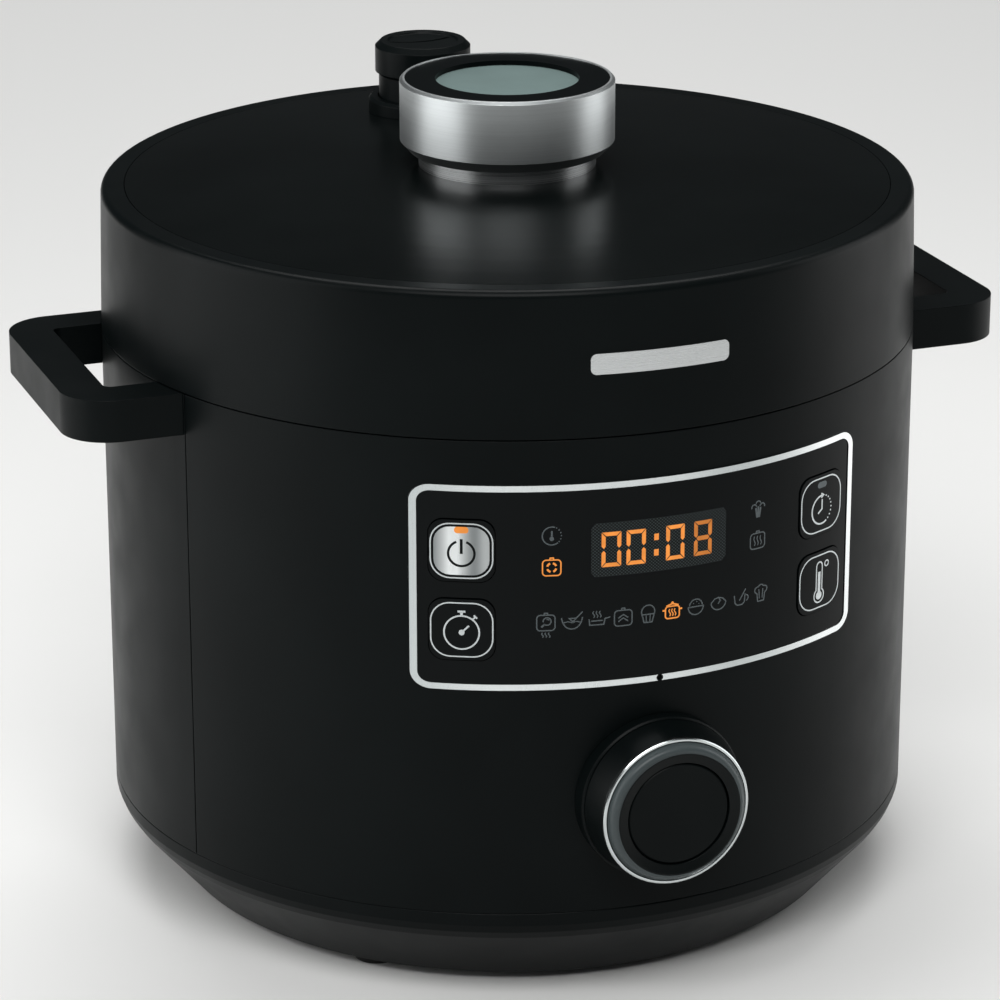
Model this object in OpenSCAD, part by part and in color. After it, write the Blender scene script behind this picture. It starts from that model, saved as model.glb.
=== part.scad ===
// Electric pressure cooker: round body, lift-off lid with a turning knob that locks it, lift-out pot.
// Millimetres, +Z up, the front faces -Y, the handles are at -X and +X.
// The origin is on the surface that the feet stand on, under the middle of the pot.

/* [Pot] */
// Inside diameter of the cooking pot
pot_inner_d = 220; // [200:1:264]
// Height of the cooking pot over its rim
pot_h = 136; // [113:1:164]
// Thickness of the pot's wall and rim
pot_wall = 1.5; // [1.2:0.1:2.4]
// How far the pot's rim stands out from its wall
pot_rim_w = 6; // [5:0.5:7.2]
// Inside radius of the pot's bottom corner
pot_corner_r = 14; // [8:1:22]

/* [Heat chamber] */
// Gap between the pot and the steel chamber round it
chamber_clear = 2; // [1.6:0.1:3]
// Thickness of the steel chamber
chamber_wall = 1.2; // [1:0.1:1.6]
// Depth of the heating plate
plate_t = 12; // [9:0.5:15]
// Diameter of the heating plate's raised middle
plate_d = 168; // [130:1:184]
// Distance from the base's underside to the heating plate's underside
bay_h = 36; // [34:0.5:44]

/* [Housing] */
// Width of the air gap between the chamber and the outer housing
air_gap = 25.8; // [24:0.1:32]
// Thickness of the plastic housing
housing_wall = 2.5; // [2:0.1:3.2]
// Angle from the front at which the front and rear housings meet
split_deg = 69; // [64:0.5:70]
// Width of the fine gaps between outside panels
seam_w = 0.5; // [0.4:0.1:0.8]
// Height of the housing's lower edge over the base's underside
base_ring_h = 32.2; // [28:0.1:38]
// Straight height at the top of the base ring, over its sloping part
base_band_h = 6; // [4:0.1:8]
// How far the base ring slopes in at the bottom
base_taper = 21.8; // [15:0.1:26]
// Height of the rubber feet
foot_h = 4; // [3:0.1:6]
// Diameter of a rubber foot
foot_d = 16; // [10:0.5:18]
// Height from the pot's rim to the lid seam
rim_drop = 15; // [14.5:0.1:18]

/* [Handles] */
// Length of each side handle, front to back
handle_l = 101; // [80:1:104]
// How far a handle stands out from the body
handle_out = 28.6; // [24:0.1:40]
// Width of a handle's bars
handle_bar = 15.2; // [11:0.1:16]
// Depth of a handle, top to bottom
handle_t = 14.5; // [11:0.1:20]
// Radius of a handle's outer corners
handle_corner_r = 17; // [8:0.5:20]

/* [Lid] */
// Height of the lid's side, from the seam to its top edge
lid_h = 49.5; // [47:0.1:60]
// How far the lid's side leans in over its height
lid_lean = 1.2; // [0:0.1:2.5]
// Radius round the lid's top edge
lid_edge_r = 2.6; // [1:0.1:4]
// Width of the rim outside the lid's round top cover
lid_rim_w = 9.6; // [8:0.1:12]
// Rise of the lid's top cover from its edge to its middle
lid_dome = 4.9; // [3:0.1:7]
// Thickness of the lid's plastic
lid_wall = 2.5; // [2:0.1:3]
// Number of locking teeth
tooth_count = 6; // [4:1:8]
// How far a locking tooth stands out
tooth_reach = 4; // [3:0.1:5]
// Angle that the knob turns to lock the lid
lock_turn = 30; // [28:1:31]

/* [Knob] */
// Diameter of the knob
knob_d = 75; // [60:0.5:80]
// Height of the knob's skirt
knob_h = 25.4; // [20:0.1:32]
// Diameter of the round base under the knob
knob_base_d = 62; // [50:0.5:66]
// Height of the knob's underside over the middle of the lid
knob_gap = 5; // [4:0.1:8]
// Slope at the knob's lower edge
knob_chamfer = 3.4; // [2:0.1:4.5]
// Width of the black ring round the knob's top disc
knob_ring_w = 10.6; // [7:0.1:13]

/* [Steam valve] */
// Distance of the steam valve behind the middle of the lid
valve_back = 88.8; // [80:0.1:95]
// Diameter of the steam valve's cap
valve_cap_d = 35; // [28:0.5:38]
// Height of the steam valve's cap
valve_cap_h = 11.2; // [9:0.1:14]
// Diameter of the valve's neck
valve_neck_d = 32.4; // [25:0.1:33]
// Height of the valve's neck
valve_neck_h = 9.4; // [7:0.1:12]
// Diameter of the collar that the valve stands in
valve_collar_d = 40; // [36:0.5:42]
// Height of the collar
valve_collar_h = 5.6; // [4:0.1:8]

/* [Control panel] */
// Half of the angle that the panel spans
panel_half_deg = 33.5; // [32:0.1:36]
// Height of the panel
panel_h = 71; // [66:0.5:78]
// Height of the panel's lower edge over the lower edge of the housing
panel_up = 80.7; // [76:0.1:86]
// Width of the panel's bright frame
frame_w = 2.1; // [1.8:0.1:3.2]
// Diameter of the dark dot in the middle of the frame's lower bar
frame_dot_d = 2.4; // [1.6:0.1:3]
// Radius of the panel's corners
panel_corner_r = 6; // [4:0.1:9]
// Width of a button
button_w = 21.6; // [17:0.1:22]
// Height of a button
button_h = 21.2; // [17:0.1:22]
// Angle of the button columns from the front
button_deg = 26.4; // [26:0.1:27]
// Distance between the two rows of buttons
button_pitch = 27.4; // [26:0.1:29]
// Travel of a button
button_travel = 1; // [0.6:0.1:1.2]

/* [Dial] */
// Diameter of the dial's bright ring
dial_d = 51.6; // [50:0.2:56]
// Width of the dial's bright ring
dial_ring_w = 1.3; // [1:0.1:2]
// Width of the slope inside the bright ring
dial_slope_w = 2.9; // [2:0.1:3.5]
// How far the dial's middle stands out from its bright ring
dial_rise = 3; // [2:0.1:4]
// How far the dial stands out from the body
dial_out = 16.4; // [14:0.1:20]
// Height of the dial's middle over the lower edge of the housing
dial_up = 40.1; // [36:0.1:42]
// Diameter of the push button in the dial
start_d = 35.4; // [28:0.2:36]
// Travel of the push button in the dial
start_travel = 1.5; // [1:0.1:2]

/* [Back] */
// Width of the condensation cup
cup_w = 58; // [48:1:64]
// Height of the condensation cup
cup_h = 66; // [50:1:72]
// Depth of the condensation cup
cup_t = 15.5; // [14:0.5:20]
// Thickness of the cup's wall
cup_wall = 1.6; // [1.2:0.1:2.2]
// Height of the mains inlet over the lower edge of the housing
inlet_up = 30; // [24:1:36]

/* [Fits] */
// Radial play of a turning shaft in its bush
shaft_play = 0.08; // [0.03:0.01:0.1]
// Play round pieces that slide past each other
slide_play = 0.4; // [0.3:0.05:0.6]
// Gap between the locking teeth and what they pass
tooth_play = 0.8; // [0.6:0.1:1]

/* [Hidden] */

// Radii, from the pot outwards
pot_r = pot_inner_d / 2 + pot_wall;
pot_rim_r = pot_r + pot_rim_w;
chamber_r_in = pot_r + chamber_clear;
chamber_r = chamber_r_in + chamber_wall;
housing_r_in = chamber_r + air_gap;
body_r = housing_r_in + housing_wall;
plate_lip_r = plate_d / 2 + 8;

// Heights, from the table upwards
base_z = foot_h;
plate_z = base_z + bay_h;
pot_z = plate_z + plate_t;
pot_rim_z = pot_z + pot_h;
seam_z = pot_rim_z + rim_drop;
housing_z = base_z + base_ring_h;
housing_top = seam_z - seam_w / 2;
skirt_z = seam_z + seam_w / 2;
lid_top = seam_z + lid_h;
chamber_z = plate_z + 4;
chamber_top = pot_rim_z - pot_wall - 0.5;

// Outline of the lid's top
cover_r = body_r - lid_rim_w;
cover_hole_r = cover_r + seam_w / 2;
lid_edge = body_r - lid_lean;
function dome_z(r) = lid_top + lid_dome * (1 - pow(r / cover_r, 2));

// Locking teeth
lock_r = pot_rim_r + 2.7;
lock_wall = 2;
lock_tooth_r = lock_r + tooth_reach;
collar_r_in = lock_tooth_r + tooth_play;
collar_wall = 3;
collar_r = collar_r_in + collar_wall;
collar_tooth_r = lock_r + tooth_play;
tooth_step = 360 / tooth_count;
tooth_deg = min(lock_turn, tooth_step / 2) - 6;
tooth_t = 4;
lock_tooth_z = pot_rim_z + 2;
collar_tooth_z = lock_tooth_z + tooth_t + 1;
collar_top = seam_z - 2;
arm_z = seam_z + 0.8;
arm_t = 2.5;
arm_w = 16;
arm_count = 3;
arm_start = -5;

// Pressure lid and what goes through it
press_r = lock_r - lock_wall - 0.6;
press_t = 1.6;
press_top = arm_z - 2.4;
press_wall = 1.6;
gasket_in = pot_inner_d / 2 - 2.5;
post_r = 5;
post_at = 60;
post_angles = [75, 190, 310];
pipe_r = 4;
float_deg = 62;
float_at = 80;
float_r = 3.5;
float_hole_r = float_r + slide_play;
float_drop = 3;
cover_t = lid_wall;

// Knob
knob_r = knob_d / 2;
hub_z = dome_z(0);
knob_z = hub_z + knob_gap;
knob_top = knob_z + knob_h;
shaft_r = 7;
bush_wall = 3;
ring_t = 2;
disc_sink = 1.1;

// Steam valve
valve_z = dome_z(valve_back);
neck_z = valve_z + valve_collar_h;
valve_cap_z = neck_z + valve_neck_h;
core_r = 10;
pipe_top = neck_z + 4;

// Control panel
panel_w = 2 * body_r * sin(panel_half_deg);
panel_z = housing_z + panel_up + panel_h / 2;
lens_r = body_r + 0.4;
lens_back = body_r - 1.8;
carrier_back = housing_r_in - 2.5;
carrier_lip = 5;
frame_r = body_r + 0.7;
button_zs = [panel_z + 13.1, panel_z + 13.1 - button_pitch];
button_corner_r = 5;
button_face_r = body_r + 0.9;
button_back = lens_back + button_travel + 0.15;
button_stem_r = 3;
stem_end = carrier_back - 0.8;
switch_top = stem_end - button_travel - 0.2;
switch_h = 3;
board_t = 1.6;
window_w = 50;
window_h = 18.5;
window_z = panel_z + 12.3;
display_depth = 8;
board_post_x = 40;
board_post_z = 26;
board_post_end = sqrt(pow(carrier_back + 1, 2) - pow(board_post_x, 2));
button_mid_z = (button_zs[0] + button_zs[1]) / 2;
lamp_depth = 3;

// Dial
dial_r = dial_d / 2;
dial_z = housing_z + dial_up;
dial_face = body_r + dial_out;
dial_collar_r = dial_r + 2.7;
dial_collar_out = 4;
dial_back = body_r + dial_collar_out + slide_play;
dial_ring_t = 1.6;
dial_ring_edge = 0.35;
dial_dish = 0.8;
start_top = dial_face + dial_rise - dial_dish - 0.2;
start_edge = 0.5;
start_plate_t = 1.4;
dial_shaft_r = 4;
start_r = start_d / 2;
start_stem_r = 1.8;
encoder_top = carrier_back - 6;
encoder_t = 8;
encoder_post_x = 10.5;
encoder_post_z = 8.5;
encoder_post_end = sqrt(pow(housing_r_in + 0.5, 2) - pow(encoder_post_x, 2));

// Back of the housing
cup_y = body_r + 0.5;
cup_z = housing_z + 88;
cup_tab = 4;
cup_tab_t = 2.4;
rail_t = 2;
inlet_z = housing_z + inlet_up;
inlet_w = 27;
inlet_h = 20;
inlet_flange_w = 34;
inlet_flange_h = 27;
inlet_y = body_r + 1.6;
inlet_flange_t = 3.2;
inlet_depth = 19;
inlet_wall = 1.6;

// Facets drawn on a full circle
$fn = 200;
tiny = 0.01;

// ---- Shared shapes ----

module ring(r_out, r_in, z0, z1) {
    difference() {
        translate([0, 0, z0]) cylinder(r = r_out, h = z1 - z0);
        translate([0, 0, z0 - 1]) cylinder(r = r_in, h = z1 - z0 + 2);
    }
}

module rod(r, z0, z1) {
    translate([0, 0, z0]) cylinder(r = r, h = z1 - z0);
}

module polar(angle, r) {
    translate([r * cos(angle), r * sin(angle), 0]) children();
}

module arc_shell(r_in, r_out, z0, z1, a0, a1) {
    rotate([0, 0, a0])
        rotate_extrude(angle = a1 - a0)
            translate([r_in, z0])
                square([r_out - r_in, z1 - z0]);
}

module round_rect(w, h, r) {
    square([w - 2 * r, h], center = true);
    square([w, h - 2 * r], center = true);
    for (x = [-1, 1], y = [-1, 1])
        translate([x * (w / 2 - r), y * (h / 2 - r)])
            circle(r = r);
}

// A flat outline pushed out of the front, from d0 to d1 in front of the middle
module to_front(d0, d1, z) {
    translate([0, 0, z])
        rotate([90, 0, 0])
            translate([0, 0, d0])
                linear_extrude(d1 - d0)
                    children();
}

module panel_outline(inset) {
    round_rect(panel_w - 2 * inset, panel_h - 2 * inset, panel_corner_r - inset);
}

// The part of the panel's outline that lies between two radii
module panel_slice(r_in, r_out, inset) {
    intersection() {
        ring(r_out, r_in, panel_z - panel_h, panel_z + panel_h);
        to_front(body_r / 2, body_r * 1.2, panel_z) panel_outline(inset);
    }
}

// A row of four button places on the panel
module each_button() {
    for (side = [-1, 1], z = button_zs)
        rotate([0, 0, side * button_deg])
            translate([0, 0, z])
                children();
}

module button_outline(grow) {
    round_rect(button_w + 2 * grow, button_h + 2 * grow, button_corner_r + grow);
}

// Arc points for a rounded outline, from angle a0 to a1
function arc(cx, cy, r, a0, a1, n = 8) = [
    for (i = [0 : n]) [cx + r * cos(a0 + (a1 - a0) * i / n), cy + r * sin(a0 + (a1 - a0) * i / n)]
];

function unit(v) = v / norm(v);

// A round wire through a list of points
module wire(points, r) {
    sides = 8;
    last = len(points) - 1;
    rings = [
        for (i = [0 : last])
            let (
                along = unit(points[min(i + 1, last)] - points[max(i - 1, 0)]),
                across = unit(cross(along, [0.31, 0.17, 1])),
                up = cross(along, across)
            )
            for (k = [0 : sides - 1])
                points[i] + r * (cos(360 * k / sides) * across + sin(360 * k / sides) * up)
    ];
    walls = [
        for (i = [0 : last - 1], k = [0 : sides - 1])
            let (next = (k + 1) % sides)
            [i * sides + k, i * sides + next, (i + 1) * sides + next, (i + 1) * sides + k]
    ];
    start_face = [for (k = [sides - 1 : -1 : 0]) k];
    end_face = [for (k = [0 : sides - 1]) last * sides + k];
    polyhedron(rings, concat(walls, [start_face], [end_face]));
}

// ---- Base ----

screw_r = 1.5;
bottom_screw_at = body_r - base_taper - 17;
boss_r = 4.5;
boss_top = base_z + 22;
ledge_r = body_r - base_taper - 22;
cover_edge_r = body_r - base_taper - 3.6;
base_cover_t = 2.5;

module base_shell() {
    cone_z = housing_z - base_band_h;
    shoulder = 7;
    outer = concat(
        [[body_r - base_taper, base_z], [body_r - shoulder * 0.42, cone_z - shoulder * 0.62]],
        [[body_r - shoulder * 0.16, cone_z - shoulder * 0.22], [body_r, cone_z + shoulder * 0.2]],
        [[body_r, housing_z - seam_w], [body_r - seam_w, housing_z]]
    );
    inner = [
        [housing_r_in, housing_z],
        [housing_r_in, cone_z],
        [cover_edge_r + 3.4, base_z + base_cover_t + 3],
        [ledge_r, base_z + base_cover_t + 3],
        [ledge_r, base_z + base_cover_t],
        [cover_edge_r, base_z + base_cover_t],
        [cover_edge_r, base_z]
    ];
    color([0.05, 0.055, 0.055])
        difference() {
            union() {
                rotate_extrude() polygon(concat(outer, inner));
                for (a = [0 : 90 : 270])
                    polar(a, bottom_screw_at)
                        rod(boss_r, base_z + base_cover_t + 2.5, boss_top);
            }
            for (a = [0 : 90 : 270])
                polar(a, bottom_screw_at)
                    rod(screw_r + 0.05, base_z, boss_top - 2);
        }
}

vent_w = 3;
vent_l = 42;
standoff_r = 3;
board_z = base_z + base_cover_t + 7;
board_w = 92;
board_l = 66;
board_y = -58;

module bottom_cover() {
    color([0.06, 0.065, 0.065])
        difference() {
            union() {
                rod(cover_edge_r, base_z, base_z + base_cover_t);
                for (x = [-1, 1], y = [-1, 1])
                    translate([x * (board_w / 2 - 6), board_y + y * (board_l / 2 - 6), 0])
                        rod(standoff_r, base_z + base_cover_t - 0.5, board_z);
            }
            for (a = [0 : 90 : 270])
                polar(a, bottom_screw_at) {
                    rod(screw_r + 0.3, base_z - 1, base_z + base_cover_t + 1);
                    rod(2 * screw_r + 0.3, base_z - 1, base_z + 1.2);
                }
            for (i = [-3 : 3])
                translate([i * 3 * vent_w - vent_w / 2, 20, base_z - 1])
                    cube([vent_w, vent_l, base_cover_t + 2]);
        }
}

foot_at = body_r - base_taper - 12.6;

module feet() {
    color([0.03, 0.03, 0.03])
        for (a = [45 : 90 : 315])
            polar(a, foot_at)
                difference() {
                    rod(foot_d / 2, 0, base_z);
                    rod(foot_d / 2 - 4, -1, 0.8);
                }
}

module bottom_screws() {
    color([0.6, 0.6, 0.62])
        for (a = [0 : 90 : 270])
            polar(a, bottom_screw_at)
                difference() {
                    union() {
                        rod(screw_r, base_z + 1.2, boss_top - 5);
                        rod(2 * screw_r, base_z + 0.1, base_z + 1.2);
                    }
                    translate([-2.2, -0.35, base_z]) cube([4.4, 0.7, 0.7]);
                }
}

// ---- Housing ----

seam_deg = seam_w / 2 / body_r * 180 / PI;
front_mid = -90;

module front_housing() {
    color([0.05, 0.055, 0.055])
        difference() {
            union() {
                arc_shell(
                    housing_r_in, body_r, housing_z, housing_top,
                    front_mid - split_deg + seam_deg, front_mid + split_deg - seam_deg
                );
                for (x = [-1, 1], z = [-1, 1])
                    translate([x * encoder_post_x, 0, 0])
                        to_front(encoder_top - encoder_t, encoder_post_end, dial_z + z * encoder_post_z)
                            circle(r = 1.8);
            }
            to_front(body_r / 2, body_r * 1.2, panel_z) panel_outline(0);
            to_front(body_r / 2, body_r * 1.2, dial_z) circle(r = dial_shaft_r + slide_play);
        }
}

// A channel beside the cup, which the cup's right tab slides down into
module cup_rail() {
    x0 = cup_w / 2 + slide_play;
    x1 = cup_w / 2 + cup_tab + slide_play;
    y0 = cup_y - slide_play;
    y1 = cup_y + cup_tab_t + slide_play;
    difference() {
        translate([x0, body_r * 0.9, cup_z - rail_t])
            cube([x1 + rail_t - x0, y1 + rail_t - body_r * 0.9, rail_t + cup_h * 0.6]);
        translate([x0 - 1, y0, cup_z])
            cube([x1 - x0 + 1, y1 - y0, cup_h]);
        rod(housing_r_in + 1, 0, lid_top);
    }
}

module rear_housing() {
    a0 = front_mid + split_deg + seam_deg;
    a1 = front_mid + 360 - split_deg - seam_deg;
    tongue_deg = 4;
    tongue_t = 2;
    tongue_top = handle_screw_z - 6;
    color([0.05, 0.055, 0.055])
        difference() {
            union() {
                arc_shell(housing_r_in, body_r, housing_z, housing_top, a0, a1);
                for (a = [a0, a1])
                    arc_shell(
                        housing_r_in - tongue_t, housing_r_in + 1, housing_z + 2, tongue_top,
                        a - tongue_deg, a + tongue_deg
                    );
                cup_rail();
                mirror([1, 0, 0]) cup_rail();
            }
            arc_shell(housing_r_in, body_r + 1, 0, lid_top, a0 - 2 * tongue_deg, a0);
            arc_shell(housing_r_in, body_r + 1, 0, lid_top, a1, a1 + 2 * tongue_deg);
            translate([-inlet_flange_w / 2, body_r * 0.8, inlet_z - inlet_flange_h / 2])
                cube([inlet_flange_w, body_r * 0.3, inlet_flange_h]);
            for (turn = [0, 180])
                rotate([0, 0, turn])
                    handle_shanks(handle_screw_r + 0.05, body_r / 2, body_r * 1.2);
            drain_notch();
        }
}

drain_w = 12;
gutter_depth = 1.4;

// A way over the rim and through the housing, by which water runs to the cup
module drain_notch() {
    translate([-drain_w / 2, housing_r_in - 5, rim_top - gutter_depth])
        cube([drain_w, housing_wall + 10, gutter_depth + 5]);
}

rim_inner_wall = 3.5;
rim_t = 3;
rim_skirt = 4;
rim_top = seam_z - 1.5;

module top_rim() {
    color([0.045, 0.05, 0.05])
        difference() {
            rotate_extrude()
                polygon([
                    [collar_r, rim_top - rim_t],
                    [housing_r_in - rim_inner_wall, rim_top - rim_t],
                    [housing_r_in - rim_inner_wall, rim_top - rim_t - rim_skirt],
                    [housing_r_in, rim_top - rim_t - rim_skirt],
                    [housing_r_in, rim_top],
                    [housing_r_in - 3, rim_top],
                    [housing_r_in - 4, rim_top - gutter_depth],
                    [collar_r + 4, rim_top - gutter_depth],
                    [collar_r + 3, rim_top],
                    [collar_r, rim_top]
                ]);
            drain_notch();
        }
}

module tooth_ring(r_in, r_out, z0, z1, first) {
    for (i = [0 : tooth_count - 1])
        arc_shell(
            r_in, r_out, z0, z1,
            first + i * tooth_step - tooth_deg / 2, first + i * tooth_step + tooth_deg / 2
        );
}

module locking_collar() {
    color([0.62, 0.63, 0.64]) {
        ring(collar_r, collar_r_in, chamber_top, collar_top);
        tooth_ring(
            collar_tooth_r, collar_r_in + 0.5, collar_tooth_z, collar_tooth_z + tooth_t,
            arm_start + lock_turn
        );
    }
}

module handle_outline() {
    reach = body_r + handle_out;
    difference() {
        union() {
            translate([0, -handle_l / 2])
                square([reach - handle_corner_r, handle_l]);
            translate([0, -handle_l / 2 + handle_corner_r])
                square([reach, handle_l - 2 * handle_corner_r]);
            for (side = [-1, 1])
                translate([reach - handle_corner_r, side * (handle_l / 2 - handle_corner_r)])
                    circle(r = handle_corner_r);
        }
        translate([0, -handle_l / 2 + handle_bar])
            square([reach - handle_bar - 3, handle_l - 2 * handle_bar]);
        translate([0, -handle_l / 2 + handle_bar + 3])
            square([reach - handle_bar, handle_l - 2 * handle_bar - 6]);
        for (side = [-1, 1])
            translate([reach - handle_bar - 3, side * (handle_l / 2 - handle_bar - 3)])
                circle(r = 3);
    }
}

handle_top = seam_z;
handle_screw_r = 1.5;
handle_screw_z = min(handle_top - handle_t + 3, rim_top - rim_t - rim_skirt - 3);
handle_screw_y = handle_l / 2 - handle_bar / 2;
handle_seat = sqrt(pow(housing_r_in, 2) - pow(handle_screw_y + 2.6, 2));

// Both screws of the right handle, as bores or as shanks
module handle_shanks(r, x0, x1) {
    for (side = [-1, 1])
        translate([x0, side * handle_screw_y, handle_screw_z])
            rotate([0, 90, 0])
                cylinder(r = r, h = x1 - x0);
}

module handle() {
    color([0.05, 0.055, 0.055])
        difference() {
            translate([0, 0, handle_top - handle_t])
                linear_extrude(handle_t)
                    handle_outline();
            rod(body_r, 0, lid_top);
            handle_shanks(handle_screw_r + 0.05, body_r / 2, handle_seat + 18.5);
        }
}

module left_handle() {
    rotate([0, 0, 180]) handle();
}

module right_handle() {
    handle();
}

module handle_screws() {
    color([0.6, 0.6, 0.62])
        for (turn = [0, 180])
            rotate([0, 0, turn]) {
                handle_shanks(handle_screw_r, handle_seat - 0.5, handle_seat + 18);
                handle_shanks(2.6, handle_seat - 2, handle_seat);
            }
}

// ---- Heating ----

module heat_chamber() {
    hole_r = plate_d / 2 + 2;
    color([0.66, 0.67, 0.68])
        rotate_extrude()
            polygon([
                [hole_r, chamber_z],
                [chamber_r, chamber_z],
                [chamber_r, chamber_top - chamber_wall],
                [collar_r, chamber_top - chamber_wall],
                [collar_r, chamber_top],
                [chamber_r_in, chamber_top],
                [chamber_r_in, chamber_z + chamber_wall],
                [hole_r, chamber_z + chamber_wall]
            ]);
}

bracket_w = 16;
bracket_t = 2;
bracket_at = plate_lip_r + 8;
bracket_shelf = 8;
bracket_foot_end = ledge_r + 10.8;

module chamber_brackets() {
    floor_z = base_z + base_cover_t + 3;
    color([0.55, 0.56, 0.57])
        for (a = [15, 135, 255])
            rotate([0, 0, a])
                translate([bracket_at, -bracket_w / 2, 0]) {
                    translate([0, 0, floor_z]) cube([bracket_t, bracket_w, chamber_z - floor_z]);
                    translate([-bracket_shelf, 0, chamber_z - bracket_t])
                        cube([bracket_shelf + tiny, bracket_w, bracket_t]);
                    translate([0, 0, floor_z])
                        cube([bracket_foot_end - bracket_at, bracket_w, bracket_t]);
                }
}

element_at = plate_d / 2 - 24;
element_r = 4;
element_z = plate_z + 1;
element_span = 330;
element_end_deg = 90 - (360 - element_span) / 2 - 2;
element_end_z = plate_z - 8;
sensor_r = 12;
sensor_hole_r = sensor_r + 1;

module heating_plate() {
    lip_t = 2.5;
    color([0.7, 0.7, 0.71])
        difference() {
            union() {
                rod(plate_d / 2, plate_z, pot_z);
                rod(plate_lip_r, chamber_z + chamber_wall, chamber_z + chamber_wall + lip_t);
            }
            rod(sensor_hole_r, plate_z - 1, pot_z + 1);
            rotate_extrude() translate([element_at, element_z]) circle(r = element_r + 0.1);
            ring(element_at + element_r + 0.1, element_at - element_r - 0.1, plate_z - 1, element_z);
        }
}

module heating_element() {
    color([0.35, 0.35, 0.36]) {
        rotate([0, 0, 270 - element_span / 2])
            rotate_extrude(angle = element_span)
                translate([element_at, element_z])
                    circle(r = element_r);
        for (a = [element_end_deg, 180 - element_end_deg])
            polar(a, element_at) rod(2.2, element_end_z, element_z);
    }
}

module thermal_fuse() {
    color([0.8, 0.78, 0.7])
        translate([26, -32, plate_z - 3]) {
            rotate([0, 90, 0]) cylinder(r = 3, h = 15);
            translate([4, -4, 0]) cube([6, 8, 3]);
        }
}

module pressure_switch() {
    color([0.15, 0.15, 0.15])
        translate([-44, 20, plate_z - 15]) {
            cube([20, 10, 12]);
            translate([10, 5, 11]) cylinder(r = 2.5, h = 4);
        }
}

module temperature_sensor() {
    sensor_gap = 0.3;
    color([0.72, 0.73, 0.74]) {
        rod(sensor_r, pot_z - 6, pot_z - sensor_gap);
        ring(sensor_r, sensor_r - 1, pot_z - 10, pot_z - 5.5);
        rod(3, plate_z - 14, pot_z - 5.5);
    }
}

// ---- Electronics ----

module power_board() {
    color([0.12, 0.3, 0.16])
        translate([-board_w / 2, board_y - board_l / 2, board_z])
            cube([board_w, board_l, board_t]);
}

module power_parts() {
    top = board_z + board_t;
    color([0.2, 0.2, 0.22]) {
        translate([-36, board_y - 24, top]) cube([24, 20, 15]);
        translate([-4, board_y - 26, top]) cube([19, 15, 14]);
        translate([24, board_y - 20, top]) cylinder(r = 6, h = 14);
        translate([36, board_y - 6, top]) cylinder(r = 4, h = 10);
        translate([-38, board_y + 8, top]) cube([12, 16, 10]);
        translate([-4, board_y + 12, top]) cube([26, 9, 9]);
    }
}

module flat_board(w, h, d, z) {
    to_front(d, d + board_t, z) square([w, h], center = true);
}

display_d = carrier_back - 0.5 - display_depth;

display_h = 60;
display_low = panel_z - display_h / 2;

module display_board() {
    color([0.12, 0.3, 0.16])
        flat_board(86, display_h, display_d - board_t, panel_z);
}

module display_module() {
    color([0.9, 0.9, 0.88]) {
        to_front(display_d, carrier_back - 0.5, window_z) square([window_w, window_h], center = true);
        for (x = [-31, 31])
            translate([x, 0, 0])
                to_front(display_d, display_d + lamp_depth, window_z) square([7, 14], center = true);
        to_front(display_d, display_d + lamp_depth, panel_z - 13) square([70, 7], center = true);
    }
}

board_d = switch_top - switch_h - board_t;

module button_boards() {
    color([0.12, 0.3, 0.16])
        for (side = [-1, 1])
            rotate([0, 0, side * button_deg])
                flat_board(20, 56, board_d, button_mid_z);
}

module tact_switches() {
    color([0.25, 0.25, 0.27])
        each_button() {
            to_front(board_d + board_t, switch_top - 1, 0) square([6, 6], center = true);
            to_front(switch_top - 1.5, switch_top, 0) circle(r = 1.6);
        }
}

module dial_encoder() {
    color([0.3, 0.3, 0.32]) {
        to_front(encoder_top - encoder_t, encoder_top, dial_z) square([14, 14], center = true);
        to_front(encoder_top - encoder_t - board_t, encoder_top - encoder_t, dial_z)
            square([2 * encoder_post_x + 5, 2 * encoder_post_z + 5], center = true);
    }
}

module panel_carrier() {
    color([0.04, 0.045, 0.045])
        difference() {
            union() {
                panel_slice(housing_r_in - tiny, lens_back, 0);
                intersection() {
                    ring(housing_r_in, carrier_back, panel_z - panel_h, panel_z + panel_h);
                    to_front(body_r / 2, body_r * 1.2, panel_z)
                        square([panel_w + 2 * carrier_lip, panel_h + 2 * carrier_lip], center = true);
                }
                for (x = [-1, 1], z = [-1, 1])
                    translate([x * board_post_x, 0, 0])
                        to_front(display_d, board_post_end, panel_z + z * board_post_z) circle(r = 2.5);
                for (side = [-1, 1])
                    rotate([0, 0, side * button_deg])
                        to_front(board_d + board_t, carrier_back + 1, button_mid_z) circle(r = 2);
            }
            each_button() to_front(body_r / 2, body_r * 1.2, 0) circle(r = button_stem_r + slide_play);
            to_front(body_r / 2, body_r * 1.2, window_z)
                square([window_w + 2 * slide_play, window_h + 2 * slide_play], center = true);
        }
}

module panel_frame() {
    color([0.75, 0.76, 0.77])
        difference() {
            panel_slice(lens_back, frame_r, 0);
            to_front(body_r / 2, body_r * 1.2, panel_z) panel_outline(frame_w);
            to_front(body_r / 2, body_r * 1.2, panel_z - panel_h / 2 + frame_w / 2)
                circle(d = frame_dot_d);
        }
}

module panel_lens() {
    color([0.02, 0.022, 0.024])
        difference() {
            panel_slice(lens_back, lens_r, frame_w);
            each_button() to_front(body_r / 2, body_r * 1.2, 0) button_outline(slide_play);
        }
}

module button(side, row) {
    color([0.05, 0.05, 0.05])
        rotate([0, 0, side * button_deg]) {
            intersection() {
                to_front(button_back, body_r * 1.2, button_zs[row]) button_outline(0);
                rod(button_face_r, 0, lid_top);
            }
            to_front(stem_end, button_back + 0.5, button_zs[row]) circle(r = button_stem_r);
        }
}

module power_button() {
    button(-1, 0);
}

module timer_button() {
    button(-1, 1);
}

module delay_button() {
    button(1, 0);
}

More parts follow.
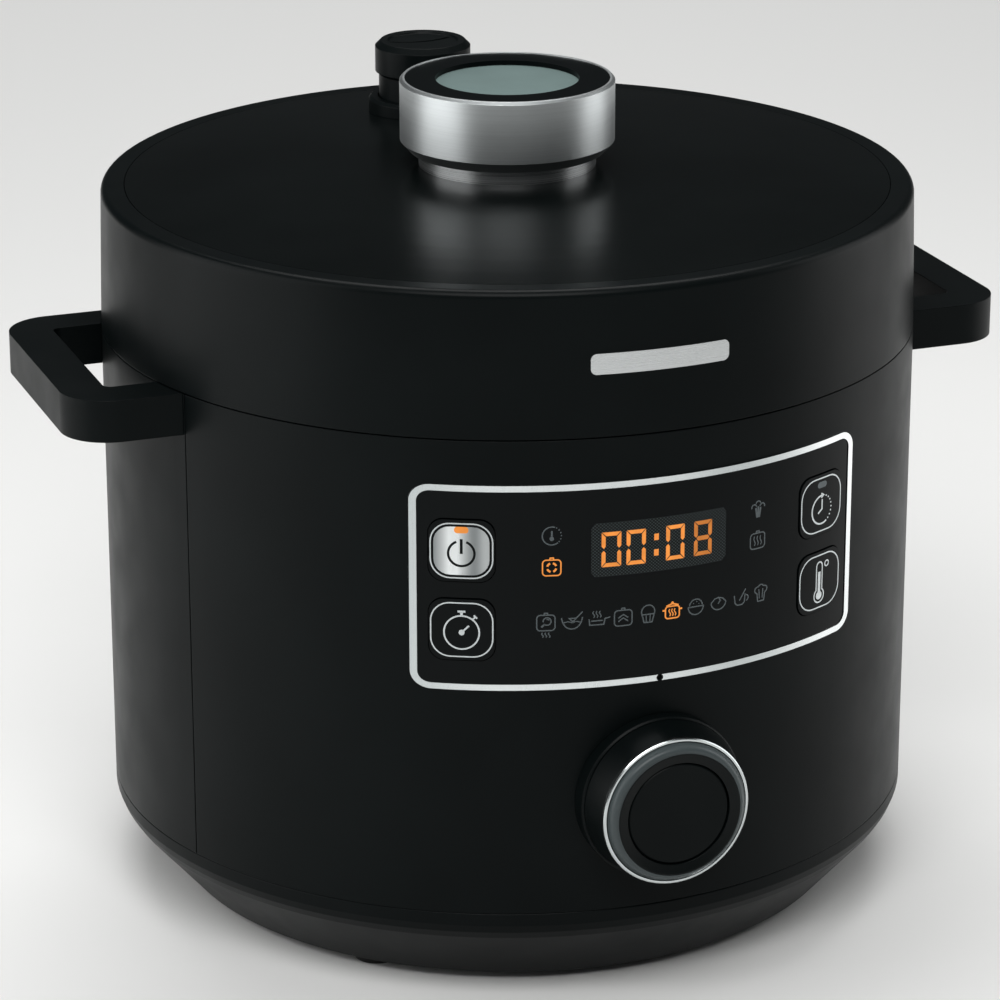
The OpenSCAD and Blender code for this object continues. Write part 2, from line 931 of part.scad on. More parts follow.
module temperature_button() {
    button(1, 1);
}

// ---- Dial ----

// A turned shape on the dial's axis, drawn as [radius, distance from the middle of the cooker]
module dial_turned(points) {
    translate([0, 0, dial_z])
        rotate([90, 0, 0])
            rotate_extrude()
                polygon(points);
}

module dial_collar() {
    color([0.05, 0.055, 0.055])
        difference() {
            dial_turned([
                [dial_shaft_r + shaft_play, body_r * 0.95],
                [dial_collar_r, body_r * 0.95],
                [dial_collar_r, body_r + dial_collar_out - 0.6],
                [dial_collar_r - 0.6, body_r + dial_collar_out],
                [dial_shaft_r + shaft_play, body_r + dial_collar_out]
            ]);
            rod(body_r, 0, lid_top);
        }
}

dial_floor = dial_face - 6;

module dial_knob() {
    color([0.06, 0.065, 0.065]) {
        dial_turned([
            [start_stem_r + slide_play, dial_back],
            [dial_collar_r - 0.8, dial_back],
            [dial_r, dial_face - dial_ring_t],
            [dial_r - dial_ring_w, dial_face - dial_ring_t],
            [dial_r - dial_ring_w, dial_face - dial_ring_edge],
            [dial_r - dial_ring_w - dial_slope_w, dial_face + dial_rise],
            [dial_r - dial_ring_w - dial_slope_w - start_edge, dial_face + dial_rise],
            [start_r + slide_play, dial_face + dial_rise - dial_dish],
            [start_r + slide_play, dial_floor],
            [start_stem_r + slide_play, dial_floor]
        ]);
        dial_turned([
            [start_stem_r + slide_play, encoder_top + 0.6],
            [dial_shaft_r, encoder_top + 0.6],
            [dial_shaft_r, dial_back + 0.5],
            [start_stem_r + slide_play, dial_back + 0.5]
        ]);
    }
}

module dial_ring() {
    color([0.78, 0.79, 0.8])
        dial_turned([
            [dial_r - dial_ring_w, dial_face - dial_ring_t],
            [dial_r, dial_face - dial_ring_t],
            [dial_r, dial_face - dial_ring_edge],
            [dial_r - dial_ring_edge, dial_face],
            [dial_r - dial_ring_w + dial_ring_edge, dial_face],
            [dial_r - dial_ring_w, dial_face - dial_ring_edge]
        ]);
}

module start_button() {
    color([0.04, 0.045, 0.045])
        dial_turned([
            [0, encoder_top + start_travel + 0.3],
            [start_stem_r, encoder_top + start_travel + 0.3],
            [start_stem_r, start_top - start_plate_t],
            [start_r, start_top - start_plate_t],
            [start_r, start_top - start_edge],
            [start_r - start_edge, start_top],
            [0, start_top]
        ]);
}

// ---- Mains inlet and wiring ----

pin_w = 4;
pin_h = 2;
pin_places = [[-7, -3.5], [7, -3.5], [0, 4]];

module inlet_socket() {
    color([0.07, 0.07, 0.07])
        difference() {
            union() {
                translate([-inlet_flange_w / 2, inlet_y - inlet_flange_t, inlet_z - inlet_flange_h / 2])
                    cube([inlet_flange_w, inlet_flange_t, inlet_flange_h]);
                translate([-inlet_w / 2, inlet_y - inlet_depth, inlet_z - inlet_h / 2])
                    cube([inlet_w, inlet_depth, inlet_h]);
            }
            translate([
                -inlet_w / 2 + inlet_wall, inlet_y - inlet_depth + inlet_wall,
                inlet_z - inlet_h / 2 + inlet_wall
            ])
                cube([inlet_w - 2 * inlet_wall, inlet_depth, inlet_h - 2 * inlet_wall]);
            for (p = pin_places)
                translate([p[0] - pin_h / 2, inlet_y - inlet_depth - 1, inlet_z + p[1] - pin_w / 2])
                    cube([pin_h, inlet_depth, pin_w]);
        }
}

module inlet_pins() {
    color([0.75, 0.72, 0.6])
        for (p = pin_places)
            translate([p[0] - pin_h / 2, inlet_y - inlet_depth - 6, inlet_z + p[1] - pin_w / 2])
                cube([pin_h, inlet_depth, pin_w]);
}

lead_r = 1.3;

// Leads from the inlet's pins to the power board, from the board to the element's two ends,
// and three from the board up to the display
module wiring() {
    board_top = board_z + board_t;
    board_back = board_y + board_l / 2;
    board_front = board_y - board_l / 2;
    pin_x = pin_places[1][0];
    pin_under = inlet_z + pin_places[1][1] - pin_w / 2;
    gap_y = chamber_r + 6.8;
    under_z = chamber_z - 4;
    end_x = element_at * cos(element_end_deg);
    end_y = element_at * sin(element_end_deg);
    color([0.55, 0.12, 0.1]) {
        for (side = [-1, 1]) {
            wire([
                [side * pin_x, gap_y, pin_under],
                [side * pin_x, gap_y, pin_under - 5],
                [side * 9, gap_y - 1, under_z + 6],
                [side * 14, gap_y - 5, under_z - 3],
                [side * 28, 98, under_z - 8],
                [side * 46, 66, under_z - 9],
                [side * 62, 10, under_z - 9],
                [side * 56, -16, under_z - 10],
                [side * 44, board_back - 6, under_z - 14],
                [side * 42, board_back - 8, board_top + 5],
                [side * 42, board_back - 8, board_top]
            ], lead_r);
            wire([
                [side * end_x, end_y, element_end_z],
                [side * end_x, end_y, element_end_z - 5],
                [side * 22, 36, 22],
                [side * 24, 0, 21],
                [side * 24, board_back + 4, 21],
                [side * 24, board_back - 4, board_top + 3],
                [side * 24, board_back - 4, board_top]
            ], lead_r);
        }
        for (x = [22, 25, 28])
            wire([
                [x, board_front + 3, board_top],
                [x, board_front + 3, board_top + 5],
                [x, board_front - 12, under_z - 8],
                [x, -gap_y + 4, under_z - 1],
                [x, -gap_y, under_z + 10],
                [x, -gap_y, dial_z + 30],
                [x, -gap_y - 1, display_low + 2],
                [x, -(display_d - board_t - 2.5), display_low + 6],
                [x, -(display_d - board_t), display_low + 6]
            ], lead_r - 0.1);
    }
}

// ---- Cooking pot ----

module inner_pot() {
    wall = pot_wall;
    color([0.2, 0.2, 0.21])
        rotate_extrude()
            polygon(concat(
                [[0, pot_z]],
                arc(pot_r - pot_corner_r - wall, pot_z + pot_corner_r + wall, pot_corner_r + wall, -90, 0),
                [
                    [pot_r, pot_rim_z - wall],
                    [pot_rim_r, pot_rim_z - wall],
                    [pot_rim_r, pot_rim_z],
                    [pot_r - wall, pot_rim_z]
                ],
                arc(pot_r - pot_corner_r - wall, pot_z + pot_corner_r + wall, pot_corner_r, 0, -90),
                [[0, pot_z + wall]]
            ));
}

// ---- Lid ----

module lid_shell() {
    ledge = 4;
    ledge_z = lid_top - cover_t;
    color([0.045, 0.05, 0.05])
        difference() {
            rotate_extrude()
                polygon(concat(
                    [[body_r, skirt_z]],
                    arc(lid_edge - lid_edge_r, lid_top - lid_edge_r, lid_edge_r, 0, 90),
                    [
                        [cover_hole_r, lid_top],
                        [cover_hole_r, ledge_z - tiny],
                        [cover_r - ledge, ledge_z - tiny],
                        [cover_r - ledge, ledge_z - lid_wall],
                        [lid_edge - lid_wall - 2, ledge_z - lid_wall],
                        [lid_edge - lid_wall, ledge_z - lid_wall - 2],
                        [body_r - lid_wall, skirt_z]
                    ]
                ));
            name_plate_shape(0, 1.2);
        }
}

plate_half_w = 24;
plate_h = 7;
plate_mid = skirt_z + 24.5;

// A blank bar let into the front of the lid's side
module name_plate_shape(shrink, depth) {
    lean = lid_lean * (plate_mid - skirt_z) / lid_h;
    intersection() {
        ring(body_r - lean + 0.3, body_r - lean - depth, plate_mid - plate_h, plate_mid + plate_h);
        to_front(body_r / 2, body_r * 1.2, plate_mid)
            round_rect(2 * plate_half_w - 2 * shrink, plate_h - 2 * shrink, 2);
    }
}

module name_plate() {
    color([0.7, 0.71, 0.72]) name_plate_shape(0, 1.2);
}

module lid_top_cover() {
    steps = 12;
    top = [for (i = [0 : steps]) [cover_r * (1 - i / steps), dome_z(cover_r * (1 - i / steps))]];
    under = [for (i = [0 : steps]) [cover_r * i / steps, dome_z(cover_r * i / steps) - cover_t]];
    color([0.035, 0.04, 0.04])
        difference() {
            rotate_extrude() polygon(concat(top, under));
            rod(shaft_r + bush_wall, lid_top - 20, lid_top + 20);
            polar(90, valve_back) rod(pipe_r + slide_play, lid_top - 20, lid_top + 20);
            polar(float_deg, float_at) rod(float_r + 1, lid_top - 20, lid_top + 20);
            for (a = post_angles)
                polar(a, post_at) rod(screw_r + 0.05, lid_top - 20, dome_z(post_at) - 1);
        }
}

module lid_liner() {
    liner_t = 2;
    color([0.5, 0.5, 0.5]) {
        ring(body_r - lid_wall - 0.3, lock_r + 2, skirt_z, skirt_z + liner_t);
        for (a = [20 : 60 : 320])
            polar(a, housing_r_in - 6)
                rod(3, skirt_z + liner_t - 1, lid_top - 2 * lid_wall);
    }
}

module pressure_lid() {
    color([0.68, 0.69, 0.7])
        difference() {
            union() {
                rod(press_r, press_top - press_t, press_top);
                ring(press_r, press_r - press_wall, lock_tooth_z, press_top);
            }
            polar(90, valve_back) rod(pipe_r, seam_z - 30, seam_z + 30);
            polar(float_deg, float_at) rod(float_hole_r, seam_z - 30, seam_z + 30);
            for (a = post_angles)
                polar(a, post_at) rod(screw_r + 0.05, seam_z - 30, seam_z + 30);
        }
}

module gasket() {
    color([0.75, 0.76, 0.76])
        rotate_extrude()
            polygon([
                [gasket_in, pot_rim_z],
                [press_r - press_wall, pot_rim_z],
                [press_r - press_wall, press_top - press_t],
                [gasket_in + 4, press_top - press_t],
                [gasket_in + 4, pot_rim_z + 3],
                [gasket_in, pot_rim_z + 2]
            ]);
}

module vent_pipe() {
    color([0.65, 0.66, 0.67])
        polar(90, valve_back)
            difference() {
                union() {
                    rod(pipe_r, press_top - press_t - 5, pipe_top);
                    rod(9, press_top, press_top + 2);
                    rod(8, press_top - press_t - 3, press_top - press_t);
                }
                rod(1.75, seam_z - 40, lid_top + 60);
            }
}

module filter_cap() {
    cap_r = 13;
    low = pot_rim_z + 2;
    high = press_top - press_t;
    color([0.66, 0.67, 0.68])
        polar(90, valve_back)
            difference() {
                rod(cap_r, low, high);
                translate([0, 0, low + 1]) cylinder(r = cap_r - 1, h = high - low);
                for (a = [0 : 30 : 330])
                    rotate([0, 0, a])
                        translate([cap_r / 2, -0.8, low + 2.5])
                            cube([cap_r, 1.6, high - low - 4]);
            }
}

module valve_collar() {
    collar_in = valve_neck_d / 2 + slide_play;
    color([0.05, 0.055, 0.055])
        polar(90, valve_back)
            difference() {
                rotate_extrude()
                    polygon([
                        [pipe_r + slide_play, valve_z - 3],
                        [valve_collar_d / 2, valve_z - 3],
                        [valve_collar_d / 2, valve_z + valve_collar_h - 1],
                        [valve_collar_d / 2 - 1, valve_z + valve_collar_h],
                        [collar_in, valve_z + valve_collar_h],
                        [collar_in, valve_z + valve_collar_h - 2],
                        [pipe_r + slide_play, valve_z + valve_collar_h - 2]
                    ]);
                polar(-90, valve_back)
                    cover_top_cut();
            }
}

// The solid under the top face of the lid's cover
module cover_top_cut() {
    steps = 12;
    rotate_extrude()
        polygon(concat(
            [for (i = [0 : steps]) [cover_r * (1 - i / steps), dome_z(cover_r * (1 - i / steps))]],
            [[0, lid_top - 20], [cover_r, lid_top - 20]]
        ));
}

module knob_base() {
    top = knob_z - 0.4;
    color([0.72, 0.73, 0.74])
        difference() {
            rotate_extrude()
                polygon([
                    [shaft_r + shaft_play, lid_top - 6],
                    [shaft_r + bush_wall, lid_top - 6],
                    [shaft_r + bush_wall, dome_z(shaft_r + bush_wall)],
                    [knob_base_d / 2, dome_z(knob_base_d / 2)],
                    [knob_base_d / 2, top],
                    [shaft_r + shaft_play, top]
                ]);
            difference() {
                cover_top_cut();
                rod(shaft_r + bush_wall, 0, lid_top + 20);
            }
        }
}

module lid_posts() {
    color([0.6, 0.6, 0.62])
        for (a = post_angles)
            polar(a, post_at) {
                rod(post_r, press_top, dome_z(post_at + post_r) - cover_t);
                rod(screw_r, press_top - press_t - 1, press_top + tiny);
                rod(2 * screw_r, press_top - press_t - 2.4, press_top - press_t);
            }
}

// ---- Knob and lock ----

module knob_body() {
    color([0.74, 0.75, 0.76])
        rotate_extrude()
            polygon([
                [shaft_r, knob_z],
                [knob_r - knob_chamfer, knob_z],
                [knob_r, knob_z + knob_chamfer * 1.1],
                [knob_r, knob_top - 0.9],
                [knob_r - 0.9, knob_top],
                [knob_r - 1.8, knob_top],
                [knob_r - 1.8, knob_top - ring_t],
                [knob_r - 5, knob_top - ring_t],
                [knob_r - 5, knob_z + 3],
                [shaft_r + 4, knob_z + 3],
                [shaft_r + 4, knob_top - ring_t - disc_sink],
                [shaft_r, knob_top - ring_t - disc_sink]
            ]);
}

module knob_ring() {
    color([0.05, 0.05, 0.055])
        ring(knob_r - 1.8, knob_r - 1.8 - knob_ring_w, knob_top - ring_t, knob_top - 0.3);
}

module knob_disc() {
    color([0.5, 0.55, 0.54])
        rod(knob_r - 1.8 - knob_ring_w + 1.5, knob_top - ring_t - disc_sink, knob_top - ring_t);
}

module knob_shaft() {
    color([0.65, 0.66, 0.67]) {
        rod(shaft_r, arm_z - 1.2, knob_top - ring_t - disc_sink);
        rod(shaft_r + 3, arm_z - 1.2, arm_z);
    }
}

module lock_ring() {
    hub_r = 16;
    color([0.62, 0.63, 0.64])
        difference() {
            union() {
                ring(lock_r, lock_r - lock_wall, lock_tooth_z, arm_z + arm_t);
                tooth_ring(lock_r - 1, lock_tooth_r, lock_tooth_z, lock_tooth_z + tooth_t, arm_start);
                for (i = [0 : arm_count - 1])
                    rotate([0, 0, arm_start + i * 360 / arm_count])
                        translate([0, -arm_w / 2, arm_z])
                            cube([lock_r - 1, arm_w, arm_t]);
                rod(hub_r, arm_z, arm_z + 8);
            }
            rod(shaft_r, arm_z - 1, arm_z + 10);
        }
}

// ---- Steam valve and float ----

module valve_core() {
    color([0.35, 0.36, 0.37])
        polar(90, valve_back)
            rotate_extrude()
                polygon([
                    [pipe_r + slide_play, valve_z + valve_collar_h - 2 + slide_play],
                    [core_r, valve_z + valve_collar_h - 2 + slide_play],
                    [core_r, valve_cap_z + 4],
                    [0, valve_cap_z + 4],
                    [0, pipe_top + slide_play],
                    [pipe_r + slide_play, pipe_top + slide_play]
                ]);
}

module valve_cap() {
    cap_r = valve_cap_d / 2;
    neck_r = valve_neck_d / 2;
    top = valve_cap_z + valve_cap_h;
    bore = core_r + slide_play;
    color([0.05, 0.055, 0.055])
        polar(90, valve_back)
            difference() {
                rotate_extrude()
                    polygon([
                        [bore, neck_z - 1.2],
                        [neck_r, neck_z - 1.2],
                        [neck_r, valve_cap_z - 1],
                        [cap_r, valve_cap_z],
                        [cap_r, top - 2],
                        [cap_r - 2, top],
                        [cap_r - 4.5, top],
                        [cap_r - 5, top - 0.8],
                        [0, top - 0.8],
                        [0, valve_cap_z + 4 + slide_play],
                        [bore, valve_cap_z + 4 + slide_play]
                    ]);
                difference() {
                    translate([0, cap_r * 1.1, top - 2]) cylinder(r = cap_r * 1.15, h = 4);
                    translate([0, cap_r * 1.1, top - 3]) cylinder(r = cap_r * 1.15 - 1.6, h = 6);
                    translate([-cap_r * 2, cap_r * 0.2, top - 3]) cube([cap_r * 4, cap_r * 2, 6]);
                    difference() {
                        translate([0, 0, top - 3]) cylinder(r = cap_r * 3, h = 6);
                        translate([0, 0, top - 4]) cylinder(r = cap_r - 5.2, h = 8);
                    }
                }
            }
}

module float_pin() {
    tip = dome_z(float_at) - float_drop;
    color([0.7, 0.2, 0.15])
        polar(float_deg, float_at) {
            rod(float_r, press_top - press_t - 6, tip);
            rod(float_r + 3, press_top - press_t - 9, press_top - press_t - 6);
        }
}

// ---- Condensation cup ----

module condensation_cup() {
    depth = cup_t;
    color([0.12, 0.12, 0.125])
        difference() {
            union() {
                translate([0, cup_y, cup_z])
                    linear_extrude(cup_h) {
                        translate([-cup_w / 2, 0]) square([cup_w, depth - 8]);
                        translate([-cup_w / 2 + 8, 0]) square([cup_w - 16, depth]);
                        for (x = [-1, 1])
                            translate([x * (cup_w / 2 - 8), depth - 8]) circle(r = 8);
                    }
                for (side = [-1, 1])
                    translate([side * (cup_w / 2 + cup_tab / 2) - cup_tab / 2 - tiny / 2, cup_y, cup_z])
                        cube([cup_tab + tiny, cup_tab_t, cup_h * 0.9]);
            }
            translate([0, cup_y, cup_z + cup_wall])
                linear_extrude(cup_h) {
                    translate([-cup_w / 2 + cup_wall, cup_wall])
                        square([cup_w - 2 * cup_wall, depth - 8 - cup_wall]);
                    translate([-cup_w / 2 + 8, cup_wall])
                        square([cup_w - 16, depth - 2 * cup_wall]);
                    for (x = [-1, 1])
                        translate([x * (cup_w / 2 - 8), depth - 8]) circle(r = 8 - cup_wall);
                }
            translate([-drain_w / 2 - 3, cup_y - 1, cup_z + cup_h - 7])
                cube([drain_w + 6, cup_wall + 2, 8]);
        }
}

base_shell();
bottom_cover();
feet();
bottom_screws();
front_housing();
rear_housing();
top_rim();
locking_collar();
left_handle();
right_handle();
handle_screws();
heat_chamber();
chamber_brackets();
heating_plate();
heating_element();
thermal_fuse();
pressure_switch();
power_board();
power_parts();
display_board();
display_module();
button_boards();
tact_switches();
dial_encoder();
panel_carrier();
panel_frame();
panel_lens();
dial_collar();
inlet_socket();
inlet_pins();
wiring();
temperature_sensor();
inner_pot();
lid_shell();
lid_top_cover();
name_plate();
lid_liner();
pressure_lid();
gasket();
vent_pipe();
filter_cap();
valve_collar();
knob_base();
lid_posts();
knob_body();
knob_ring();
knob_disc();
knob_shaft();
lock_ring();
valve_core();
valve_cap();
float_pin();
dial_knob();
dial_ring();
start_button();
power_button();
timer_button();
delay_button();
temperature_button();
condensation_cup();
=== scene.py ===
import math

import bmesh
import bpy
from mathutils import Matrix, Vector


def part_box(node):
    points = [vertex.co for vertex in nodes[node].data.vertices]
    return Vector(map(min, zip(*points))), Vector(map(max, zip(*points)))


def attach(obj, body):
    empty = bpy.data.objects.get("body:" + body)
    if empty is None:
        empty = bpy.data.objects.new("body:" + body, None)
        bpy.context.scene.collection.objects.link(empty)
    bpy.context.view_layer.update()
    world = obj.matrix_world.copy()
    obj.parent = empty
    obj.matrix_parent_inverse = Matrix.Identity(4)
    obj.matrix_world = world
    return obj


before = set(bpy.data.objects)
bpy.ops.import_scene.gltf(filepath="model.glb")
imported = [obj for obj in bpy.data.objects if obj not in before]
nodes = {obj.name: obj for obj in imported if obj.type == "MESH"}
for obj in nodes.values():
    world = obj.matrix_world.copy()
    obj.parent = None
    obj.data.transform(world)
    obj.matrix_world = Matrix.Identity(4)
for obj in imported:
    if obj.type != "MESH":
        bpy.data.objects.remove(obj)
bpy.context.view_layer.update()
MM = 0.001


# ---- Sizes read from the frame ----

def middle_z(node):
    """The height of the middle of a node's box."""
    low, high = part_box(node)
    return (low.z + high.z) / 2


BODY_R = -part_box("front_housing")[0].y
LENS_R = -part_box("panel_lens")[0].y
PANEL_Z = middle_z("panel_frame")
POT_Z0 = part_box("inner_pot")[0].z


# ---- Camera and light ----

CAMERA_PLACE = (-0.4811, -1.2894, 0.6247)
CAMERA_LOOKS = (0.3304, 0.8855, -0.3267)
CAMERA_LENS_MM, CAMERA_SENSOR_MM = 146.4, 36
CAMERA_SHIFT = (-0.0073, -0.0453)

BODY_MIDDLE = (0, 0, 0.2)
# Name, place, point looked at, width, height and watts of each lamp, in metres
LAMPS = [
    ("soft_front", (-0.5, -1.3, 1.7), (0, 0, 0.1), 1.6, 1.0, 34),
    ("soft_back", (0.5, 1.5, 3.4), (0.6, 1.9, 0), 3.0, 2.4, 110),
    ("strip_left", (-0.8, 0.06, 0.42), BODY_MIDDLE, 0.85, 0.8, 5),
    ("strip_right", (0.85, -0.12, 0.42), BODY_MIDDLE, 0.6, 0.8, 3),
]
WORLD_COLOUR, WORLD_STRENGTH = (0.86, 0.9, 0.93), 0.05
FLOOR_COLOUR, FLOOR_ROUGHNESS, FLOOR_HALF = (0.72, 0.72, 0.71), 0.6, 6


def aim(thing, place, direction):
    """Puts a lamp or a camera in the scene and turns it."""
    bpy.context.scene.collection.objects.link(thing)
    thing.location = place
    thing.rotation_mode = "QUATERNION"
    thing.rotation_quaternion = Vector(direction).to_track_quat("-Z", "Y")


def make_camera():
    data = bpy.data.cameras.new("camera")
    data.sensor_width = CAMERA_SENSOR_MM
    data.lens = CAMERA_LENS_MM
    data.shift_x, data.shift_y = CAMERA_SHIFT
    data.clip_start, data.clip_end = 0.05, 20
    camera = bpy.data.objects.new("camera", data)
    aim(camera, CAMERA_PLACE, CAMERA_LOOKS)
    bpy.context.scene.camera = camera


def make_lights():
    for name, place, target, width, height, watts in LAMPS:
        data = bpy.data.lights.new(name, "AREA")
        data.shape = "RECTANGLE"
        data.size, data.size_y = width, height
        data.energy = watts
        light = bpy.data.objects.new(name, data)
        aim(light, place, Vector(target) - Vector(place))
        light.visible_camera = False
    world = bpy.data.worlds.new("world")
    world.use_nodes = True
    background = world.node_tree.nodes["Background"]
    background.inputs["Color"].default_value = (*WORLD_COLOUR, 1)
    background.inputs["Strength"].default_value = WORLD_STRENGTH
    bpy.context.scene.world = world
    bpy.context.scene.view_settings.view_transform = "Standard"


def make_floor():
    bm = bmesh.new()
    bmesh.ops.create_grid(bm, x_segments=1, y_segments=1, size=FLOOR_HALF)
    mesh = bpy.data.meshes.new("floor")
    bm.to_mesh(mesh)
    bm.free()
    floor = bpy.data.objects.new("floor", mesh)
    bpy.context.scene.collection.objects.link(floor)
    material = bpy.data.materials.new("floor_pale")
    material.use_nodes = True
    shader = material.node_tree.nodes["Principled BSDF"]
    shader.inputs["Base Color"].default_value = (*FLOOR_COLOUR, 1)
    shader.inputs["Roughness"].default_value = FLOOR_ROUGHNESS
    mesh.materials.append(material)


make_camera()
make_lights()
make_floor()


# ---- Materials ----

# Sockets of a Mix node in its colour mode, which share their names with the other modes'
MIX_FACTOR, MIX_FIRST, MIX_SECOND, MIX_RESULT = 0, 6, 7, 2
# What a noise gives, apart from its rare peaks
NOISE_LOW, NOISE_HIGH = 0.3, 0.7


class Maker:
    """One node material, built up with short calls."""

    def __init__(self, name):
        self.material = bpy.data.materials.new(name)
        self.material.use_nodes = True
        self.nodes = self.material.node_tree.nodes
        self.links = self.material.node_tree.links
        self.shader = self.nodes["Principled BSDF"]
        self.where = self.nodes.new("ShaderNodeTexCoord").outputs["Object"]

    def put(self, **values):
        """Sets sockets of the shader, with _ for the spaces in their names."""
        for name, value in values.items():
            self.shader.inputs[name.replace("_", " ")].default_value = value

    def link(self, source, name):
        self.links.new(source, self.shader.inputs[name])

    def noise(self, size, detail=2.0, vector=None, squash=None):
        """A noise whose patches are about size metres across."""
        node = self.nodes.new("ShaderNodeTexNoise")
        node.inputs["Scale"].default_value = 1 / size
        node.inputs["Detail"].default_value = detail
        source = vector or self.where
        if squash:
            mapping = self.nodes.new("ShaderNodeMapping")
            mapping.inputs["Scale"].default_value = squash
            self.links.new(source, mapping.inputs["Vector"])
            source = mapping.outputs["Vector"]
        self.links.new(source, node.inputs["Vector"])
        return node.outputs["Fac"]

    def spread(self, source, low, high):
        """Maps the middle of a noise to low..high."""
        node = self.nodes.new("ShaderNodeMapRange")
        node.inputs["From Min"].default_value = NOISE_LOW
        node.inputs["From Max"].default_value = NOISE_HIGH
        node.inputs["To Min"].default_value = low
        node.inputs["To Max"].default_value = high
        self.links.new(source, node.inputs["Value"])
        return node.outputs["Result"]

    def blend_colour(self, source, first, second):
        """The base colour, from first to second as source goes from 0 to 1."""
        node = self.nodes.new("ShaderNodeMix")
        node.data_type = "RGBA"
        self.links.new(source, node.inputs[MIX_FACTOR])
        node.inputs[MIX_FIRST].default_value = (*first, 1)
        node.inputs[MIX_SECOND].default_value = (*second, 1)
        self.link(node.outputs[MIX_RESULT], "Base Color")

    def bump(self, source, height, strength, bevel=0.0):
        """Relief of a height in metres, and edges rounded over bevel metres."""
        node = self.nodes.new("ShaderNodeBump")
        node.inputs["Strength"].default_value = strength
        node.inputs["Distance"].default_value = height
        self.links.new(source, node.inputs["Height"])
        if bevel:
            edge = self.nodes.new("ShaderNodeBevel")
            edge.samples = 4
            edge.inputs["Radius"].default_value = bevel
            self.links.new(edge.outputs["Normal"], node.inputs["Normal"])
        self.link(node.outputs["Normal"], "Normal")

    def rings(self):
        """Distance from the z axis, as the x of a vector whose y is the height."""
        split = self.nodes.new("ShaderNodeSeparateXYZ")
        self.links.new(self.where, split.inputs[0])
        flat = self.nodes.new("ShaderNodeCombineXYZ")
        self.links.new(split.outputs["X"], flat.inputs["X"])
        self.links.new(split.outputs["Y"], flat.inputs["Y"])
        length = self.nodes.new("ShaderNodeVectorMath")
        length.operation = "LENGTH"
        self.links.new(flat.outputs["Vector"], length.inputs[0])
        both = self.nodes.new("ShaderNodeCombineXYZ")
        self.links.new(length.outputs["Value"], both.inputs["X"])
        self.links.new(split.outputs["Z"], both.inputs["Y"])
        return both.outputs["Vector"]


def moulded(name, colour, roughness, specular=0.5, grain=0.0005, height=0.00002, bevel=0.0,
            drift=0.04):
    """Moulded plastic or rubber: a fine grain, and colour and sheen that drift over centimetres."""
    m = Maker(name)
    m.put(Specular_IOR_Level=specular)
    lighter = tuple(c * 1.35 + 0.0006 for c in colour)
    m.blend_colour(m.spread(m.noise(0.06, 3), 0.0, 1.0), colour, lighter)
    m.link(m.spread(m.noise(0.02, 3), roughness - drift, roughness + drift), "Roughness")
    m.bump(m.noise(grain, 3), height, 0.6, bevel)
    return m.material


def gloss(name, colour, roughness, specular=0.5, coat=0.6):
    """Polished plastic: fine random hairlines and faint smears in its sheen."""
    m = Maker(name)
    m.put(Specular_IOR_Level=specular, Coat_Weight=coat, Coat_Roughness=0.05)
    m.blend_colour(m.spread(m.noise(0.05, 2), 0.0, 1.0), colour, tuple(c * 1.2 for c in colour))
    m.link(m.spread(m.noise(0.03, 5), roughness - 0.02, roughness + 0.05), "Roughness")
    m.bump(m.noise(0.0006, 2, squash=(1, 14, 1)), 0.000004, 0.5)
    return m.material


def turned(name, colour, roughness, groove=0.0003, height=0.000012, bevel=0.0):
    """Metal turned or brushed round the z axis, with fine grooves that follow the turning."""
    m = Maker(name)
    m.put(Metallic=1.0)
    lines = m.noise(groove, 2, vector=m.rings())
    dark = tuple(c * 0.86 for c in colour)
    m.blend_colour(m.spread(lines, 0.0, 1.0), dark, colour)
    m.link(m.spread(lines, roughness - 0.05, roughness + 0.07), "Roughness")
    m.bump(lines, height, 0.7, bevel)
    return m.material


def brushed(name, colour, roughness, grain, squash=(1, 1, 1)):
    """Plain rolled metal, or metal brushed along straight lines where squash is uneven."""
    m = Maker(name)
    m.put(Metallic=1.0)
    lines = m.noise(grain, 4, squash=squash)
    m.blend_colour(m.spread(lines, 0.0, 1.0), tuple(c * 0.85 for c in colour), colour)
    m.link(m.spread(lines, roughness - 0.05, roughness + 0.08), "Roughness")
    m.bump(lines, 0.000015, 0.5)
    return m.material


def painted_reflection_bands(name, dark, light, roughness, width):
    """A plated face with soft upright dark and bright bands painted into its colour: painted
    reflections of the surroundings, not a tone of the metal itself.
    """
    m = Maker(name)
    m.put(Metallic=1.0)
    # Painted reflections: this noise moves the base colour between dark and light in upright
    # stripes, standing in for the reflections of lamps and room.
    bands = m.noise(width, 0, squash=(1, 0, 0))
    m.blend_colour(m.spread(bands, 0.0, 1.0), dark, light)
    lines = m.noise(0.03, 3, squash=(60, 1, 1))
    m.link(m.spread(lines, roughness - 0.04, roughness + 0.06), "Roughness")
    m.bump(lines, 0.000005, 0.4)
    return m.material


def glowing(name, colour, strength):
    """A lit lamp behind the lens, whose light is a little uneven."""
    m = Maker(name)
    m.put(Base_Color=(0, 0, 0, 1), Roughness=0.5, Specular_IOR_Level=0.1)
    m.put(Emission_Color=(*colour, 1))
    m.link(m.spread(m.noise(0.004, 1), strength * 0.9, strength * 1.1), "Emission Strength")
    return m.material


